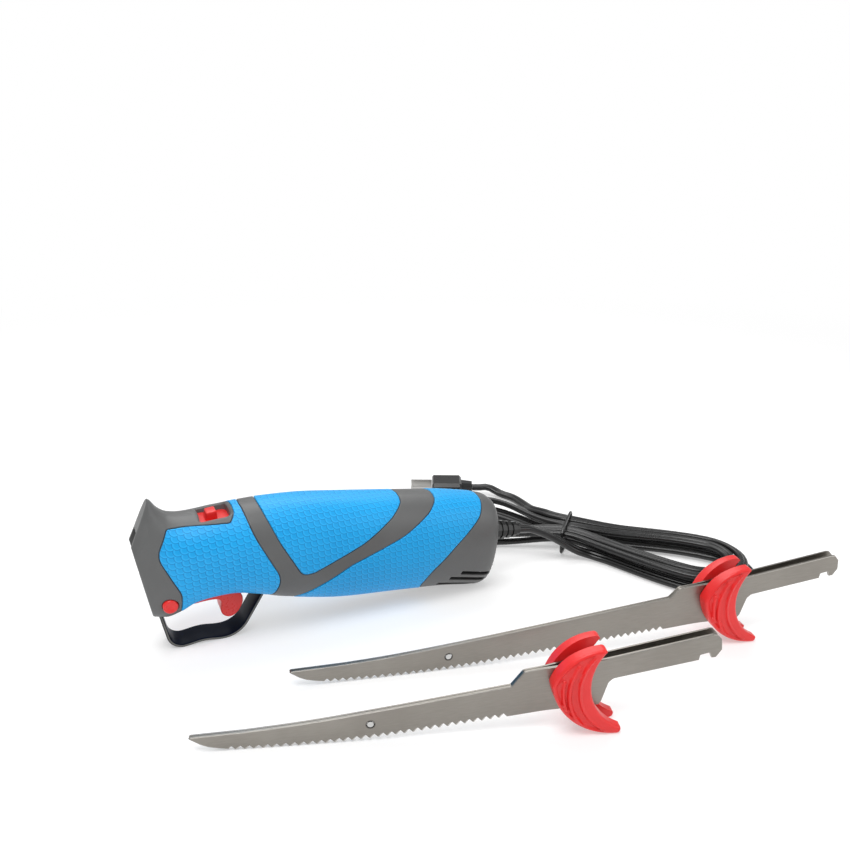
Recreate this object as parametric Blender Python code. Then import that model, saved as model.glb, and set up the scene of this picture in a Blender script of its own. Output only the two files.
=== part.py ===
"""Corded electric fillet knife: the handle stands on its trigger guard and its heel, nose towards -X.

A short and a long blade set stand beside it on their guards, and the cord lies behind as a tied hank.
All sizes are in metres. Side views are in the handle's own frame: x runs from the nose to the heel,
y to the right-hand side, z up, and the motor end of the handle dips by REST_TILT when it stands.
"""
import math

import bmesh
import bpy
from mathutils import Matrix, Vector

for old in list(bpy.data.objects):
    bpy.data.objects.remove(old, do_unlink=True)

# Fits
GAP = 0.0003
WELD = 0.000004
SPLIT = 0.0003

# Handle outline
HANDLE_LENGTH = 0.2100
REST_TILT = math.radians(8.0)
FIN_X = 0.0069
FIN_TOP = 0.0294
SADDLE_X = 0.0235
SADDLE_TOP = 0.0204
GRIP_TOP = 0.0301
GRIP_BOTTOM = -0.0308
GRIP_HALF_WIDTH = 0.0230
NOSE_BOTTOM = -0.0350
NOSE_HALF_WIDTH = 0.0095
NOSE_BREAK_Z = 0.0050
NOSE_FOOT_X = 0.0130
BAY_X = 0.0540
BAY_BOTTOM = -0.0235
HEEL_X = HANDLE_LENGTH - 0.0090
HEEL_BOTTOM = -0.0296
WALL = 0.0032
SECTION_STEPS = 20

# Soft grip panels
GRIP_THICKNESS = 0.0013
UNDER_EDGE = 0.0012

# Blade passage in the nose
SHANK_HEIGHT = 0.0124
SHANK_AXIS_Z = 0.0055
BLADE_SLOT_HALF_WIDTH = 0.0047
CARRIER_FRONT = 0.0150
CARRIER_STROKE = 0.0040

# Drive train
MOTOR_AXIS_Z = -0.0065
MOTOR_RADIUS = 0.0170
MOTOR_FRONT = 0.1060
MOTOR_LENGTH = 0.0540
MOTOR_WALL = 0.0014
SHAFT_RADIUS = 0.0020
WORM_LEAD = 0.0032
WORM_TURNS = 5
WORM_ROOT = 0.0026
WORM_TIP = 0.0047
GEAR_TEETH = 16
GEAR_X = 0.0760
GEAR_WIDTH = 0.0080
CRANK_RADIUS = 0.0040
CRANK_PIN_RADIUS = 0.0020
FAN_RADIUS = 0.0150
FAN_BLADES = 9
BEARING_RADIUS = 0.0050
BEARING_WIDTH = 0.0040

# Trigger and its guard
PIVOT_X = 0.0340
PIVOT_Z = -0.0225
PIVOT_RADIUS = 0.0015
PIN_HALF = 0.0105
TRIGGER_HALF_WIDTH = 0.0062
TRIGGER_HOOK_X = 0.0542
TRIGGER_HOOK_Z = -0.0410
TRIGGER_PRESS = math.radians(7.0)
SPRING_X = 0.0425
SPRING_RADIUS = 0.0019
SPRING_WIRE = 0.0004
SPRING_COILS = 5
GUARD_WIDTH = 0.0154
GUARD_THICKNESS = 0.0018
GUARD_FOOT_FRONT = 0.0165
GUARD_FOOT_BACK = 0.0520

# Lock slider
SLIDER_X = 0.0405
SLIDER_DROP = 0.0003
SLIDER_SLOPE = math.radians(8.5)
SLIDER_WINDOW = (0.0146, 0.0132)
SLIDER_PLATE = (0.0216, 0.0160, 0.0015)
SLIDER_TRAVEL = 0.0035

# Release buttons
BUTTON_X = 0.0197
BUTTON_Z = -0.0241
BUTTON_RADIUS = 0.0039
BUTTON_PROUD = 0.0012
BUTTON_TRAVEL = 0.0025

# Blades: u runs from the first tooth to the shank's end, t up from the line of the rear tooth tips
PITCH = 0.0040
TOOTH_DEPTH = 0.0020
TOOTH_FLAT = 0.0005
GROUND_BEVEL = 0.0006
BELLY_RADIUS = 0.5880
BELLY_START = 0.0864
BLADE_THICKNESS = 0.0013
SHANK_PITCH = 0.0053
JOG_START = 0.0150
JOG_END = 0.0400
STUD_U = 0.0610
STUD_T = 0.0080
STUD_RADIUS = 0.0015
SHORT_TEETH = 32
LONG_TEETH = 46
WING_THICKNESS = 0.0065

# Cord
CORD_DIAMETER = 0.0064
STRAND_STEP = 0.0070
FOLD_RADIUS = 0.0194
WAIST = Vector((HANDLE_LENGTH + 0.0670, 0.0180, 0.0))
WAIST_HEADING = math.radians(-42.0)
TIE_WIRE = 0.0009
RELIEF_START = HANDLE_LENGTH - 0.0110
RELIEF_NECK = HANDLE_LENGTH + 0.0035
RELIEF_END = HANDLE_LENGTH + 0.0210
RELIEF_Z = 0.0035
RELIEF_RADIUS = 0.0051
RELIEF_COLLAR = (HANDLE_LENGTH - 0.0045, HANDLE_LENGTH - 0.0025)
RELIEF_COLLAR_RADIUS = 0.0069
PLUG_SIZE = (0.0300, 0.0210, 0.0130)
PIN_PITCH = 0.0127

FRAME = bpy.data.objects.new("knife_frame", None)
bpy.context.scene.collection.objects.link(FRAME)


def finish(name, colour, roughness, metallic=0.0):
    """A Principled material in the piece's own colour."""
    made = bpy.data.materials.new(name)
    made.use_nodes = True
    shader = made.node_tree.nodes["Principled BSDF"]
    shader.inputs["Base Color"].default_value = (*colour, 1.0)
    shader.inputs["Roughness"].default_value = roughness
    shader.inputs["Metallic"].default_value = metallic
    made.diffuse_color = (*colour, 1.0)
    return made


GREY_PLASTIC = finish("grey_shell", (0.115, 0.118, 0.122), 0.42)
BLUE_SOFT = finish("blue_grip", (0.010, 0.300, 0.800), 0.55)
RED_PLASTIC = finish("red_control", (0.720, 0.010, 0.020), 0.40)
RED_GUARD = finish("red_guard", (0.800, 0.012, 0.020), 0.45)
NAVY_GLOSS = finish("guard_strip", (0.006, 0.012, 0.025), 0.18)
BLADE_STEEL = finish("blade_steel", (0.270, 0.250, 0.225), 0.38, 1.0)
BRIGHT_STEEL = finish("bright_steel", (0.600, 0.600, 0.590), 0.25, 1.0)
BLACK_RUBBER = finish("cord_black", (0.012, 0.012, 0.013), 0.45)
MOTOR_STEEL = finish("motor_steel", (0.420, 0.420, 0.430), 0.35, 1.0)
WHITE_NYLON = finish("nylon", (0.720, 0.700, 0.640), 0.50)
NYLON_DARK = finish("switch_body", (0.030, 0.030, 0.034), 0.5)
BRASS = finish("brass", (0.700, 0.480, 0.160), 0.30, 1.0)


def smooth(keys, x):
    """A monotone cubic through (x, value) keys, so that a line never swings past its own points."""
    keys = sorted(keys)
    if x <= keys[0][0]:
        return keys[0][1]
    if x >= keys[-1][0]:
        return keys[-1][1]
    slopes = [(b[1] - a[1]) / (b[0] - a[0]) for a, b in zip(keys, keys[1:])]
    tangents = [slopes[0]]
    for before, after in zip(slopes, slopes[1:]):
        same_way = before * after > 0
        tangents.append(2 * before * after / (before + after) if same_way else 0.0)
    tangents.append(slopes[-1])
    for i, (a, b) in enumerate(zip(keys, keys[1:])):
        if x <= b[0]:
            h = b[0] - a[0]
            s = (x - a[0]) / h
            return (a[1] * (1 + 2 * s) * (1 - s) ** 2 + b[1] * s * s * (3 - 2 * s)
                    + h * tangents[i] * s * (1 - s) ** 2 + h * tangents[i + 1] * s * s * (s - 1))
    return keys[-1][1]


def link(name, mesh, material=None, parent=None):
    """An object in the scene, with its material and its parent."""
    made = bpy.data.objects.new(name, mesh)
    bpy.context.scene.collection.objects.link(made)
    if material:
        mesh.materials.append(material)
    made.parent = parent
    return made


def empty(name, location=(0, 0, 0), rotation=(0, 0, 0), parent=None):
    """A joint axis or a frame that pieces are placed by."""
    made = bpy.data.objects.new(name, None)
    bpy.context.scene.collection.objects.link(made)
    made.location = location
    made.rotation_euler = rotation
    made.parent = parent
    return made


def solid(name, build, material=None, parent=None, smooth_angle=None):
    """Runs build on a bmesh and links the closed mesh with its faces pointing out."""
    bm = bmesh.new()
    build(bm)
    bmesh.ops.recalc_face_normals(bm, faces=bm.faces)
    mesh = bpy.data.meshes.new(name)
    bm.to_mesh(mesh)
    bm.free()
    if smooth_angle:
        mesh.shade_smooth()
        mesh.set_sharp_from_angle(angle=math.radians(smooth_angle))
    return link(name, mesh, material, parent)


def as_cutter(made):
    """Marks a guide solid, which cuts or fills other pieces and is no piece itself."""
    made.hide_render = True
    made.display_type = "WIRE"
    if made.parent is None:
        made.parent = HANDLE
    return made


def combine(made, other, operation="DIFFERENCE"):
    """An exact Boolean of one solid with another."""
    step = made.modifiers.new(other.name, "BOOLEAN")
    step.operation = operation
    step.solver = "EXACT"
    step.object = other
    return made


def add_box(bm, low, high, matrix=None):
    """A box between two corners, turned by an optional matrix."""
    corners = [Vector((x, y, z)) for x in (low[0], high[0]) for y in (low[1], high[1]) for z in (low[2], high[2])]
    verts = [bm.verts.new(matrix @ c if matrix else c) for c in corners]
    for face in ((0, 1, 3, 2), (4, 6, 7, 5), (0, 4, 5, 1), (2, 3, 7, 6), (0, 2, 6, 4), (1, 5, 7, 3)):
        bm.faces.new([verts[i] for i in face])


def cut_all(made, others):
    """One exact difference with a whole set of solids at once."""
    group = bpy.data.collections.new(f"{made.name}_cuts")
    for other in others:
        group.objects.link(other)
    step = made.modifiers.new(group.name, "BOOLEAN")
    step.operation = "DIFFERENCE"
    step.solver = "EXACT"
    step.operand_type = "COLLECTION"
    step.collection = group
    return made


def box(name, low, high, material=None, parent=None, matrix=None):
    return solid(name, lambda bm: add_box(bm, low, high, matrix), material, parent)


def add_rings(bm, rings, closed=True):
    """Skins rings of points; the two end rings become flat ends."""
    rows = [[bm.verts.new(p) for p in ring] for ring in rings]
    for a, b in zip(rows, rows[1:]):
        for i in range(len(a)):
            j = (i + 1) % len(a)
            bm.faces.new((a[i], a[j], b[j], b[i]))
    if closed:
        bm.faces.new(list(reversed(rows[0])))
        bm.faces.new(rows[-1])


def add_prism(bm, outline, low, high):
    """A side-view outline (x, z) run across from y = low to y = high."""
    add_rings(bm, [[Vector((x, y, z)) for x, z in outline] for y in (low, high)])


def prism(name, outline, low, high, material=None, parent=None):
    return solid(name, lambda bm: add_prism(bm, outline, low, high), material, parent)


def add_turned(bm, profile, steps=20, turn=None):
    """A turned solid about the x axis from (x, radius) points; a radius of 0 closes it on the axis."""
    rows = []
    for x, r in profile:
        if r <= 0:
            rows.append([bm.verts.new(Vector((x, 0, 0)))])
        else:
            rows.append([bm.verts.new(Vector((x, r * math.cos(a), r * math.sin(a))))
                         for a in (2 * math.pi * (i + 0.5) / steps for i in range(steps))])
    for a, b in zip(rows, rows[1:] + [rows[0]]):
        if len(a) == 1 and len(b) == 1:
            continue
        for i in range(steps):
            j = (i + 1) % steps
            if len(a) == 1:
                bm.faces.new((a[0], b[j], b[i]))
            elif len(b) == 1:
                bm.faces.new((a[i], a[j], b[0]))
            else:
                bm.faces.new((a[i], a[j], b[j], b[i]))
    if turn:
        bmesh.ops.transform(bm, matrix=turn, verts=bm.verts)


def turned(name, profile, steps=20, turn=None, material=None, parent=None):
    return solid(name, lambda bm: add_turned(bm, profile, steps, turn), material, parent, 35)


def rod_profile(x0, x1, radius):
    """A plain cylinder between x0 and x1."""
    return [(x0, 0), (x0, radius), (x1, radius), (x1, 0)]


def ring_profile(x0, x1, bore, radius):
    """A tube between x0 and x1."""
    return [(x0, bore), (x0, radius), (x1, radius), (x1, bore)]


def along_y(x=0.0, z=0.0):
    """Turns the x axis to y and moves it to a point of the side view."""
    return Matrix.Translation((x, 0, z)) @ Matrix.Rotation(math.radians(90), 4, "Z")


def rounded(corners, steps=4):
    """An outline from (x, z, radius) corners, each round one as an arc."""
    points = []
    count = len(corners)
    for i, (x, z, radius) in enumerate(corners):
        here = Vector((x, z))
        before = Vector(corners[i - 1][:2]) - here
        after = Vector(corners[(i + 1) % count][:2]) - here
        half = before.angle(after) / 2
        reach = radius / math.tan(half) if radius else 0.0
        reach = min(reach, before.length * 0.49, after.length * 0.49)
        if reach <= 0:
            points.append((x, z))
            continue
        r = reach * math.tan(half)
        middle = here + (before.normalized() + after.normalized()).normalized() * (r / math.sin(half))
        start = here + before.normalized() * reach - middle
        sweep = start.angle_signed(here + after.normalized() * reach - middle)
        for k in range(steps + 1):
            turn = -sweep * k / steps
            c, s = math.cos(turn), math.sin(turn)
            points.append((middle.x + start.x * c - start.y * s, middle.y + start.x * s + start.y * c))
    return points


def grown(outline, distance):
    """The outline moved outwards by a distance."""
    area = sum(a[0] * b[1] - b[0] * a[1] for a, b in zip(outline, outline[1:] + outline[:1]))
    side = 1 if area > 0 else -1
    moved = []
    count = len(outline)
    for i, (x, z) in enumerate(outline):
        before = Vector((x, z)) - Vector(outline[i - 1])
        after = Vector(outline[(i + 1) % count]) - Vector((x, z))
        n1 = Vector((before.y, -before.x)).normalized()
        n2 = Vector((after.y, -after.x)).normalized()
        mean = n1 + n2
        shift = mean * (distance * side / max(0.5, 1 + n1.dot(n2)))
        moved.append((x + shift.x, z + shift.y))
    return moved


def arc_through(p0, p1, p2, steps):
    """Points of the arc from p0 through p1 to p2, without the last one."""
    (ax, ay), (bx, by), (cx, cy) = p0, p1, p2
    d = 2 * (ax * (by - cy) + bx * (cy - ay) + cx * (ay - by))
    ux = ((ax * ax + ay * ay) * (by - cy) + (bx * bx + by * by) * (cy - ay) + (cx * cx + cy * cy) * (ay - by)) / d
    uy = ((ax * ax + ay * ay) * (cx - bx) + (bx * bx + by * by) * (ax - cx) + (cx * cx + cy * cy) * (bx - ax)) / d
    radius = math.hypot(ax - ux, ay - uy)
    a0 = math.atan2(ay - uy, ax - ux)
    a1 = math.atan2(by - uy, bx - ux)
    a2 = math.atan2(cy - uy, cx - ux)
    full = (a2 - a0) % (2 * math.pi)
    if (a1 - a0) % (2 * math.pi) > full:
        full -= 2 * math.pi
    return [(ux + radius * math.cos(a0 + full * k / steps), uy + radius * math.sin(a0 + full * k / steps))
            for k in range(steps)]


# Handle body: its top, bottom and half-width lines, and how square its sections are
TOP_LINE = (
    (-0.0060, 0.0270), (FIN_X, FIN_TOP), (0.0125, 0.0242), (0.0180, 0.0211), (SADDLE_X, SADDLE_TOP),
    (0.0430, 0.0238), (0.0660, 0.0278), (0.0970, GRIP_TOP), (HEEL_X - 0.0310, 0.0299), (HEEL_X - 0.0090, 0.0286),
    (HEEL_X + 0.0010, 0.0272), (HEEL_X + 0.0060, 0.0246), (HANDLE_LENGTH, 0.0195),
)
BOTTOM_LINE = (
    (-0.0060, NOSE_BOTTOM), (0.0200, NOSE_BOTTOM), (0.0330, -0.0290), (0.0430, -0.0255), (BAY_X, BAY_BOTTOM),
    (0.0660, -0.0247), (0.0800, -0.0275), (0.1150, GRIP_BOTTOM), (HEEL_X - 0.0510, -0.0292),
    (HEEL_X - 0.0260, -0.0284), (HEEL_X, HEEL_BOTTOM), (HEEL_X + 0.0060, -0.0280), (HANDLE_LENGTH, -0.0235),
)
WIDTH_LINE = (
    (-0.0060, 0.0085), (0.0, NOSE_HALF_WIDTH), (0.0100, 0.0136), (0.0200, 0.0181), (0.0320, 0.0206),
    (0.0550, 0.0221), (0.0900, GRIP_HALF_WIDTH), (HEEL_X - 0.0360, 0.0228), (HEEL_X - 0.0090, 0.0208),
    (HEEL_X + 0.0010, 0.0197), (HEEL_X + 0.0060, 0.0175), (HANDLE_LENGTH, 0.0122),
)
TOP_SQUARENESS = ((0.0, 1.7), (0.0200, 2.2), (0.0600, 2.3))
BOTTOM_SQUARENESS = ((0.0150, 3.4), (0.0500, 2.6), (0.1000, 2.3))
BODY_STATIONS = sorted((
    -0.0060, 0.0010, 0.0069, 0.0110, 0.0160, 0.0220, 0.0300, 0.0390, 0.0490, 0.0600, 0.0720, 0.0850,
    0.1000, 0.1200, HEEL_X - 0.0610, HEEL_X - 0.0410, HEEL_X - 0.0230, HEEL_X - 0.0090, HEEL_X,
    HEEL_X + 0.0040, HEEL_X + 0.0070, HANDLE_LENGTH,
))
CAVITY_FLOOR = ((0.0120, -0.0090), (0.0280, -0.0090), (0.0380, -0.0160), (0.0460, -0.0400))
CAVITY_STATIONS = sorted((
    0.0120, 0.0200, 0.0280, 0.0360, 0.0430, 0.0600, 0.0900, 0.1200, HEEL_X - 0.0510, HEEL_X - 0.0210,
    HEEL_X - 0.0050, HEEL_X + 0.0040,
))


def section(x, inset, floor=None):
    """One cross-section of the handle, drawn in by an inset; floor lifts the bottom of the hollow."""
    top = smooth(TOP_LINE, x) - inset
    bottom = smooth(BOTTOM_LINE, x) + inset
    if floor:
        bottom = max(bottom, smooth(floor, x))
    half = smooth(WIDTH_LINE, x) - inset
    ring = []
    for i in range(SECTION_STEPS):
        angle = 2 * math.pi * (i + 0.5) / SECTION_STEPS
        c, s = math.cos(angle), math.sin(angle)
        power = 2 / smooth(TOP_SQUARENESS if s > 0 else BOTTOM_SQUARENESS, x)
        y = half * math.copysign(abs(c) ** power, c)
        z = (top if s > 0 else -bottom) * math.copysign(abs(s) ** power, s)
        ring.append(Vector((x, y, z)))
    return ring


def body_form(name, inset, stations, floor=None):
    return solid(name, lambda bm: add_rings(bm, [section(x, inset, floor) for x in stations]))


def side_half_width(x, z):
    """How far the handle's surface stands from its middle plane at a point of the side view."""
    half = smooth(WIDTH_LINE, x)
    reach = smooth(TOP_LINE, x) if z > 0 else -smooth(BOTTOM_LINE, x)
    power = smooth(TOP_SQUARENESS if z > 0 else BOTTOM_SQUARENESS, x)
    return half * max(0.0, 1 - (abs(z) / reach) ** power) ** (1 / power)


def standing(x, z):
    """A side-view point of the handle as it stands, before the handle is lifted."""
    return (x * math.cos(REST_TILT) + z * math.sin(REST_TILT), z * math.cos(REST_TILT) - x * math.sin(REST_TILT))


def leaning(x, z):
    """The way back from a point of the standing handle to its side view."""
    return (x * math.cos(REST_TILT) - z * math.sin(REST_TILT), x * math.sin(REST_TILT) + z * math.cos(REST_TILT))


HEEL_REACH = [HEEL_X + k / 1000 for k in range(-50, 9)]
HANDLE_LIFT = -min(standing(x, smooth(BOTTOM_LINE, x))[1] for x in HEEL_REACH)
HANDLE = empty("handle_frame", parent=FRAME)


def handle_point(x, y, z):
    """A point of the handle's side view in the standing frame."""
    sx, sz = standing(x, z)
    return Vector((sx, y, sz + HANDLE_LIFT))


def slider_matrix():
    """The lock slider's own frame: level with the top strip, at the middle of its window."""
    top = smooth(TOP_LINE, SLIDER_X) - SLIDER_DROP
    return Matrix.Translation((SLIDER_X, 0, top)) @ Matrix.Rotation(-SLIDER_SLOPE, 4, "Y")


# Slider sizes measured down from the top strip
PLATE_TOP = -0.0046
TRACK_HALF_LENGTH = SLIDER_PLATE[0] / 2 + SLIDER_TRAVEL + 0.0005
TRACK_HALF_WIDTH = SLIDER_PLATE[1] / 2 + GAP
TRACK_WALL = 0.0020
TRACK_FLOOR = PLATE_TOP - SLIDER_PLATE[2] - 2 * GAP

# Screws: side-view place, underside of the head, inner end, counterbore wall kept round it
SCREWS = {
    "nose_screw": (0.0105, -0.0120, 0.0090, -0.0090),
    "band_screw": (0.0610, 0.0196, 0.0120, -0.0100),
    "vee_screw": (0.0900, -0.0170, 0.0145, -0.0120),
    "cap_screw": (HEEL_X - 0.0010, 0.0150, 0.0105, -0.0090),
}
SCREW_HEAD = 0.0029
SCREW_SHANK = 0.0015
SCREW_HEAD_HEIGHT = 0.0020
BOSS_WALL = 0.0010

# Inner ribs that carry the mechanism
GUIDE_RIBS = (0.0202, 0.0420)
RIB = 0.0024
PLATE_GUIDE = 0.0960
MOTOR_RIBS = (0.1160, 0.1480)
BEARING_FRONT = 0.0580
SHELF_X = (0.0350, 0.0570)
SHELF_Z = (-0.0099, -0.0076)
CARRIER_HALF_WIDTH = 0.0052
CARRIER_PLATE = (0.0062, 0.0086)
CARRIER_BACK = 0.0900
CARRIER_BLOCK_BACK = BEARING_FRONT - CARRIER_STROKE - 0.0010
CARRIER_PLATE_FRONT = GUIDE_RIBS[1] + RIB + CARRIER_STROKE + 0.0008
WINDOW_HALF = 0.0075
WINDOW_FRAME = 0.0020
SOCKET_BACK = 0.0490
SOCKET_HALF_HEIGHT = SHANK_HEIGHT / 2 + 0.0012


def keep_solids():
    """What stays solid inside the hollow: ribs, rails, bosses and the shelf above the trigger."""
    wide = GRIP_HALF_WIDTH + 0.01
    made = []

    def rib(name, x, openings, low=-GRIP_HALF_WIDTH - 0.02):
        slab = box(name, (x, -wide, low), (x + RIB, wide, wide + 0.01))
        for i, cut in enumerate(openings):
            combine(slab, as_cutter(cut(f"{name}_{i}", x)))
        made.append(slab)

    def carrier_gate(name, x):
        half = SOCKET_HALF_HEIGHT + GAP
        reach = CARRIER_HALF_WIDTH + GAP
        return box(name, (x - 0.001, -reach, SHANK_AXIS_Z - half), (x + RIB + 0.001, reach, SHANK_AXIS_Z + half))

    def plate_gates(name, x):
        half = WINDOW_HALF + WINDOW_FRAME + GAP
        low, high = CARRIER_PLATE[0] - GAP, CARRIER_PLATE[1] + GAP

        def build(bm):
            for side in (-1, 1):
                ys = sorted((side * low, side * high))
                add_box(bm, (x - 0.001, ys[0], SHANK_AXIS_Z - half), (x + RIB + 0.001, ys[1], SHANK_AXIS_Z + half))
        return solid(name, build)

    def shaft_hole(name, x):
        return turned(name, rod_profile(x - 0.001, x + RIB + 0.001, SHAFT_RADIUS + 0.0012), 12,
                      Matrix.Translation((0, 0, MOTOR_AXIS_Z)))

    def motor_bore(name, x):
        return turned(name, rod_profile(x - 0.001, x + RIB + 0.001, MOTOR_RADIUS + GAP), 20,
                      Matrix.Translation((0, 0, MOTOR_AXIS_Z)))

    for i, x in enumerate(GUIDE_RIBS):
        rib(f"guide_rib_{i}", x, [carrier_gate], SHELF_Z[0] + 0.0005)
    for i, x in enumerate(MOTOR_RIBS):
        rib(f"motor_rib_{i}", x, [motor_bore])

    block = box("bearing_block", (BEARING_FRONT, -wide, MOTOR_AXIS_Z - 0.0065),
                (BEARING_FRONT + BEARING_WIDTH, wide, MOTOR_AXIS_Z + 0.0005))
    combine(block, as_cutter(box("bearing_saddle", (BEARING_FRONT - 0.001, -CARRIER_PLATE[0] + 0.0004, MOTOR_AXIS_Z - 0.0004),
                                 (BEARING_FRONT + BEARING_WIDTH + 0.001, CARRIER_PLATE[0] - 0.0004, 0.0))))
    combine(block, as_cutter(turned("bearing_seat", rod_profile(BEARING_FRONT - 0.001, BEARING_FRONT + 0.01,
                                                               BEARING_RADIUS + GAP), 16,
                                    Matrix.Translation((0, 0, MOTOR_AXIS_Z)))))
    made.append(block)
    made.append(box("switch_shelf", (SHELF_X[0], -wide, SHELF_Z[0]), (SHELF_X[1], wide, SHELF_Z[1])))

    def axle_bosses(bm):
        for side in (-1, 1):
            inner = side * (CARRIER_PLATE[1] + 0.0006)
            outer = side * wide
            part = bmesh.new()
            add_turned(part, rod_profile(inner, outer, SHAFT_RADIUS + 0.0025), 12, along_y(GEAR_X, SHANK_AXIS_Z))
            piece = bpy.data.meshes.new("boss")
            part.to_mesh(piece)
            part.free()
            bm.from_mesh(piece)
    made.append(solid("axle_bosses", axle_bosses))

    for name, (x, z, head, end) in SCREWS.items():
        made.append(turned(f"{name}_boss", rod_profile(-wide, wide, SCREW_HEAD + GAP + BOSS_WALL), 12, along_y(x, z)))

    at = slider_matrix()
    track = box("slider_track", (-TRACK_HALF_LENGTH - TRACK_WALL, -TRACK_HALF_WIDTH - TRACK_WALL, TRACK_FLOOR - 0.0016),
                (TRACK_HALF_LENGTH + TRACK_WALL, TRACK_HALF_WIDTH + TRACK_WALL, 0.02), matrix=at)
    made.append(track)
    return [as_cutter(m) for m in made]


def guard_line():
    """The middle line of the trigger guard strip, from inside the nose round the foot into the bay."""
    foot = -HANDLE_LIFT + GUARD_THICKNESS / 2
    start = standing(NOSE_FOOT_X + 0.0022, NOSE_BOTTOM + 0.0045)
    end = standing(0.0715, -0.0215)
    corners = [start, (GUARD_FOOT_FRONT - 0.0008, foot), (GUARD_FOOT_BACK, foot), end]
    path = [start]
    for i, radius in ((1, 0.0080), (2, 0.0150)):
        a, b, c = Vector(corners[i - 1]), Vector(corners[i]), Vector(corners[i + 1])
        before, after = (a - b).normalized(), (c - b).normalized()
        half = before.angle(after) / 2
        reach = radius / math.tan(half)
        path += arc_through(tuple(b + before * reach),
                            tuple(b + (before + after).normalized() * (radius / math.sin(half) - radius)),
                            tuple(b + after * reach), 6)
        path.append(tuple(b + after * reach))
    path.append(end)
    return [leaning(x, z) for x, z in path]


def ribbon(points, thickness):
    """The side-view outline of a strip that follows a line."""
    left, right = [], []
    for i, p in enumerate(points):
        a = Vector(points[max(i - 1, 0)])
        b = Vector(points[min(i + 1, len(points) - 1)])
        n = Vector(((b - a).y, -(b - a).x)).normalized() * thickness / 2
        left.append((p[0] + n.x, p[1] + n.y))
        right.append((p[0] - n.x, p[1] - n.y))
    return left + right[::-1]


VENTS = ((HEEL_X - 0.0158, -0.0145, 0.0216), (HEEL_X - 0.0222, -0.0183, 0.0258), (HEEL_X - 0.0286, -0.0229, 0.0284))
VENT_HEIGHT = 0.0020
VENT_SLOPE = math.radians(-8.4)
TRIGGER_BAY = (0.0292, 0.0658)
TRIGGER_BAY_TOP = -0.0172
BAY_LAND = 0.0090


def shell_cuts():
    """Openings and seats cut through both shell halves."""
    cuts = []
    slot_half = SHANK_HEIGHT / 2 + 0.0008
    cuts.append(box("blade_slot", (-0.02, -BLADE_SLOT_HALF_WIDTH, SHANK_AXIS_Z - slot_half),
                    (CARRIER_FRONT + 0.001, BLADE_SLOT_HALF_WIDTH, SHANK_AXIS_Z + slot_half)))
    run = CARRIER_HALF_WIDTH + 2 * GAP
    reach = SOCKET_HALF_HEIGHT + 2 * GAP
    cuts.append(box("carrier_run", (CARRIER_FRONT - CARRIER_STROKE - GAP, -run, SHANK_AXIS_Z - reach),
                    (GUIDE_RIBS[0] - 0.0005, run, SHANK_AXIS_Z + reach)))
    half = TRIGGER_HALF_WIDTH + 2 * GAP
    cuts.append(box("trigger_bay", (TRIGGER_BAY[0], -half, -0.06), (TRIGGER_BAY[1], half, TRIGGER_BAY_TOP)))
    line = guard_line()
    seat = grown(ribbon(line, GUARD_THICKNESS), GAP)
    cuts.append(prism("guard_seat", seat, -GUARD_WIDTH / 2 - GAP, GUARD_WIDTH / 2 + GAP))
    cuts.append(box("slider_window", (-SLIDER_WINDOW[0] / 2, -SLIDER_WINDOW[1] / 2, PLATE_TOP),
                    (SLIDER_WINDOW[0] / 2, SLIDER_WINDOW[1] / 2, 0.02), matrix=slider_matrix()))
    cuts.append(box("slider_channel", (-TRACK_HALF_LENGTH, -TRACK_HALF_WIDTH, TRACK_FLOOR),
                    (TRACK_HALF_LENGTH, TRACK_HALF_WIDTH, PLATE_TOP + GAP), matrix=slider_matrix()))
    run_end = SLIDER_X - TRACK_HALF_LENGTH + 0.0120
    cuts.append(box("carrier_roof", (GUIDE_RIBS[0] + 0.0005, -run, SHANK_AXIS_Z), (run_end, run, SHANK_AXIS_Z + reach)))
    at = Matrix.Translation((0, 0, RELIEF_Z))
    cuts.append(turned("relief_bore", rod_profile(RELIEF_START, RELIEF_END, RELIEF_RADIUS + GAP), 16, at))
    cuts.append(turned("relief_groove", rod_profile(*RELIEF_COLLAR, RELIEF_COLLAR_RADIUS + GAP), 16, at))
    for i, (x, z, length) in enumerate(VENTS):
        turn = Matrix.Translation((x, 0, z)) @ Matrix.Rotation(-VENT_SLOPE, 4, "Y")
        for side, name in ((-1, "left"), (1, "right")):
            ys = sorted((side * 0.0060, side * 0.03))
            cuts.append(box(f"vent_{name}_{i}", (0, ys[0], -VENT_HEIGHT / 2), (length, ys[1], VENT_HEIGHT / 2), matrix=turn))
    cuts.append(turned("pin_bore", rod_profile(-PIN_HALF - GAP, PIN_HALF + GAP, PIVOT_RADIUS + GAP), 12,
                       along_y(PIVOT_X, PIVOT_Z)))
    cuts.append(turned("axle_bore", rod_profile(-0.0125, 0.0125, SHAFT_RADIUS + GAP), 12,
                       along_y(GEAR_X, SHANK_AXIS_Z)))
    face = side_half_width(BUTTON_X, BUTTON_Z)
    for side, name in ((-1, "left"), (1, "right")):
        profile = [(side * (face - 0.0085), 0), (side * (face - 0.0085), BUTTON_RADIUS + 0.0014),
                   (side * (face - 0.0030), BUTTON_RADIUS + 0.0014), (side * (face - 0.0030), BUTTON_RADIUS + GAP),
                   (side * (face + 0.006), BUTTON_RADIUS + GAP), (side * (face + 0.006), 0)]
        cuts.append(turned(f"button_bore_{name}", profile, 16, along_y(BUTTON_X, BUTTON_Z)))
    for name, (x, z, head, end) in SCREWS.items():
        profile = [(end - GAP, 0), (end - GAP, SCREW_SHANK + GAP), (head - GAP, SCREW_SHANK + GAP),
                   (head - GAP, SCREW_HEAD + GAP), (0.04, SCREW_HEAD + GAP), (0.04, 0)]
        cuts.append(turned(f"{name}_hole", profile, 12, along_y(x, z)))
    return [as_cutter(c) for c in cuts]


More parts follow.
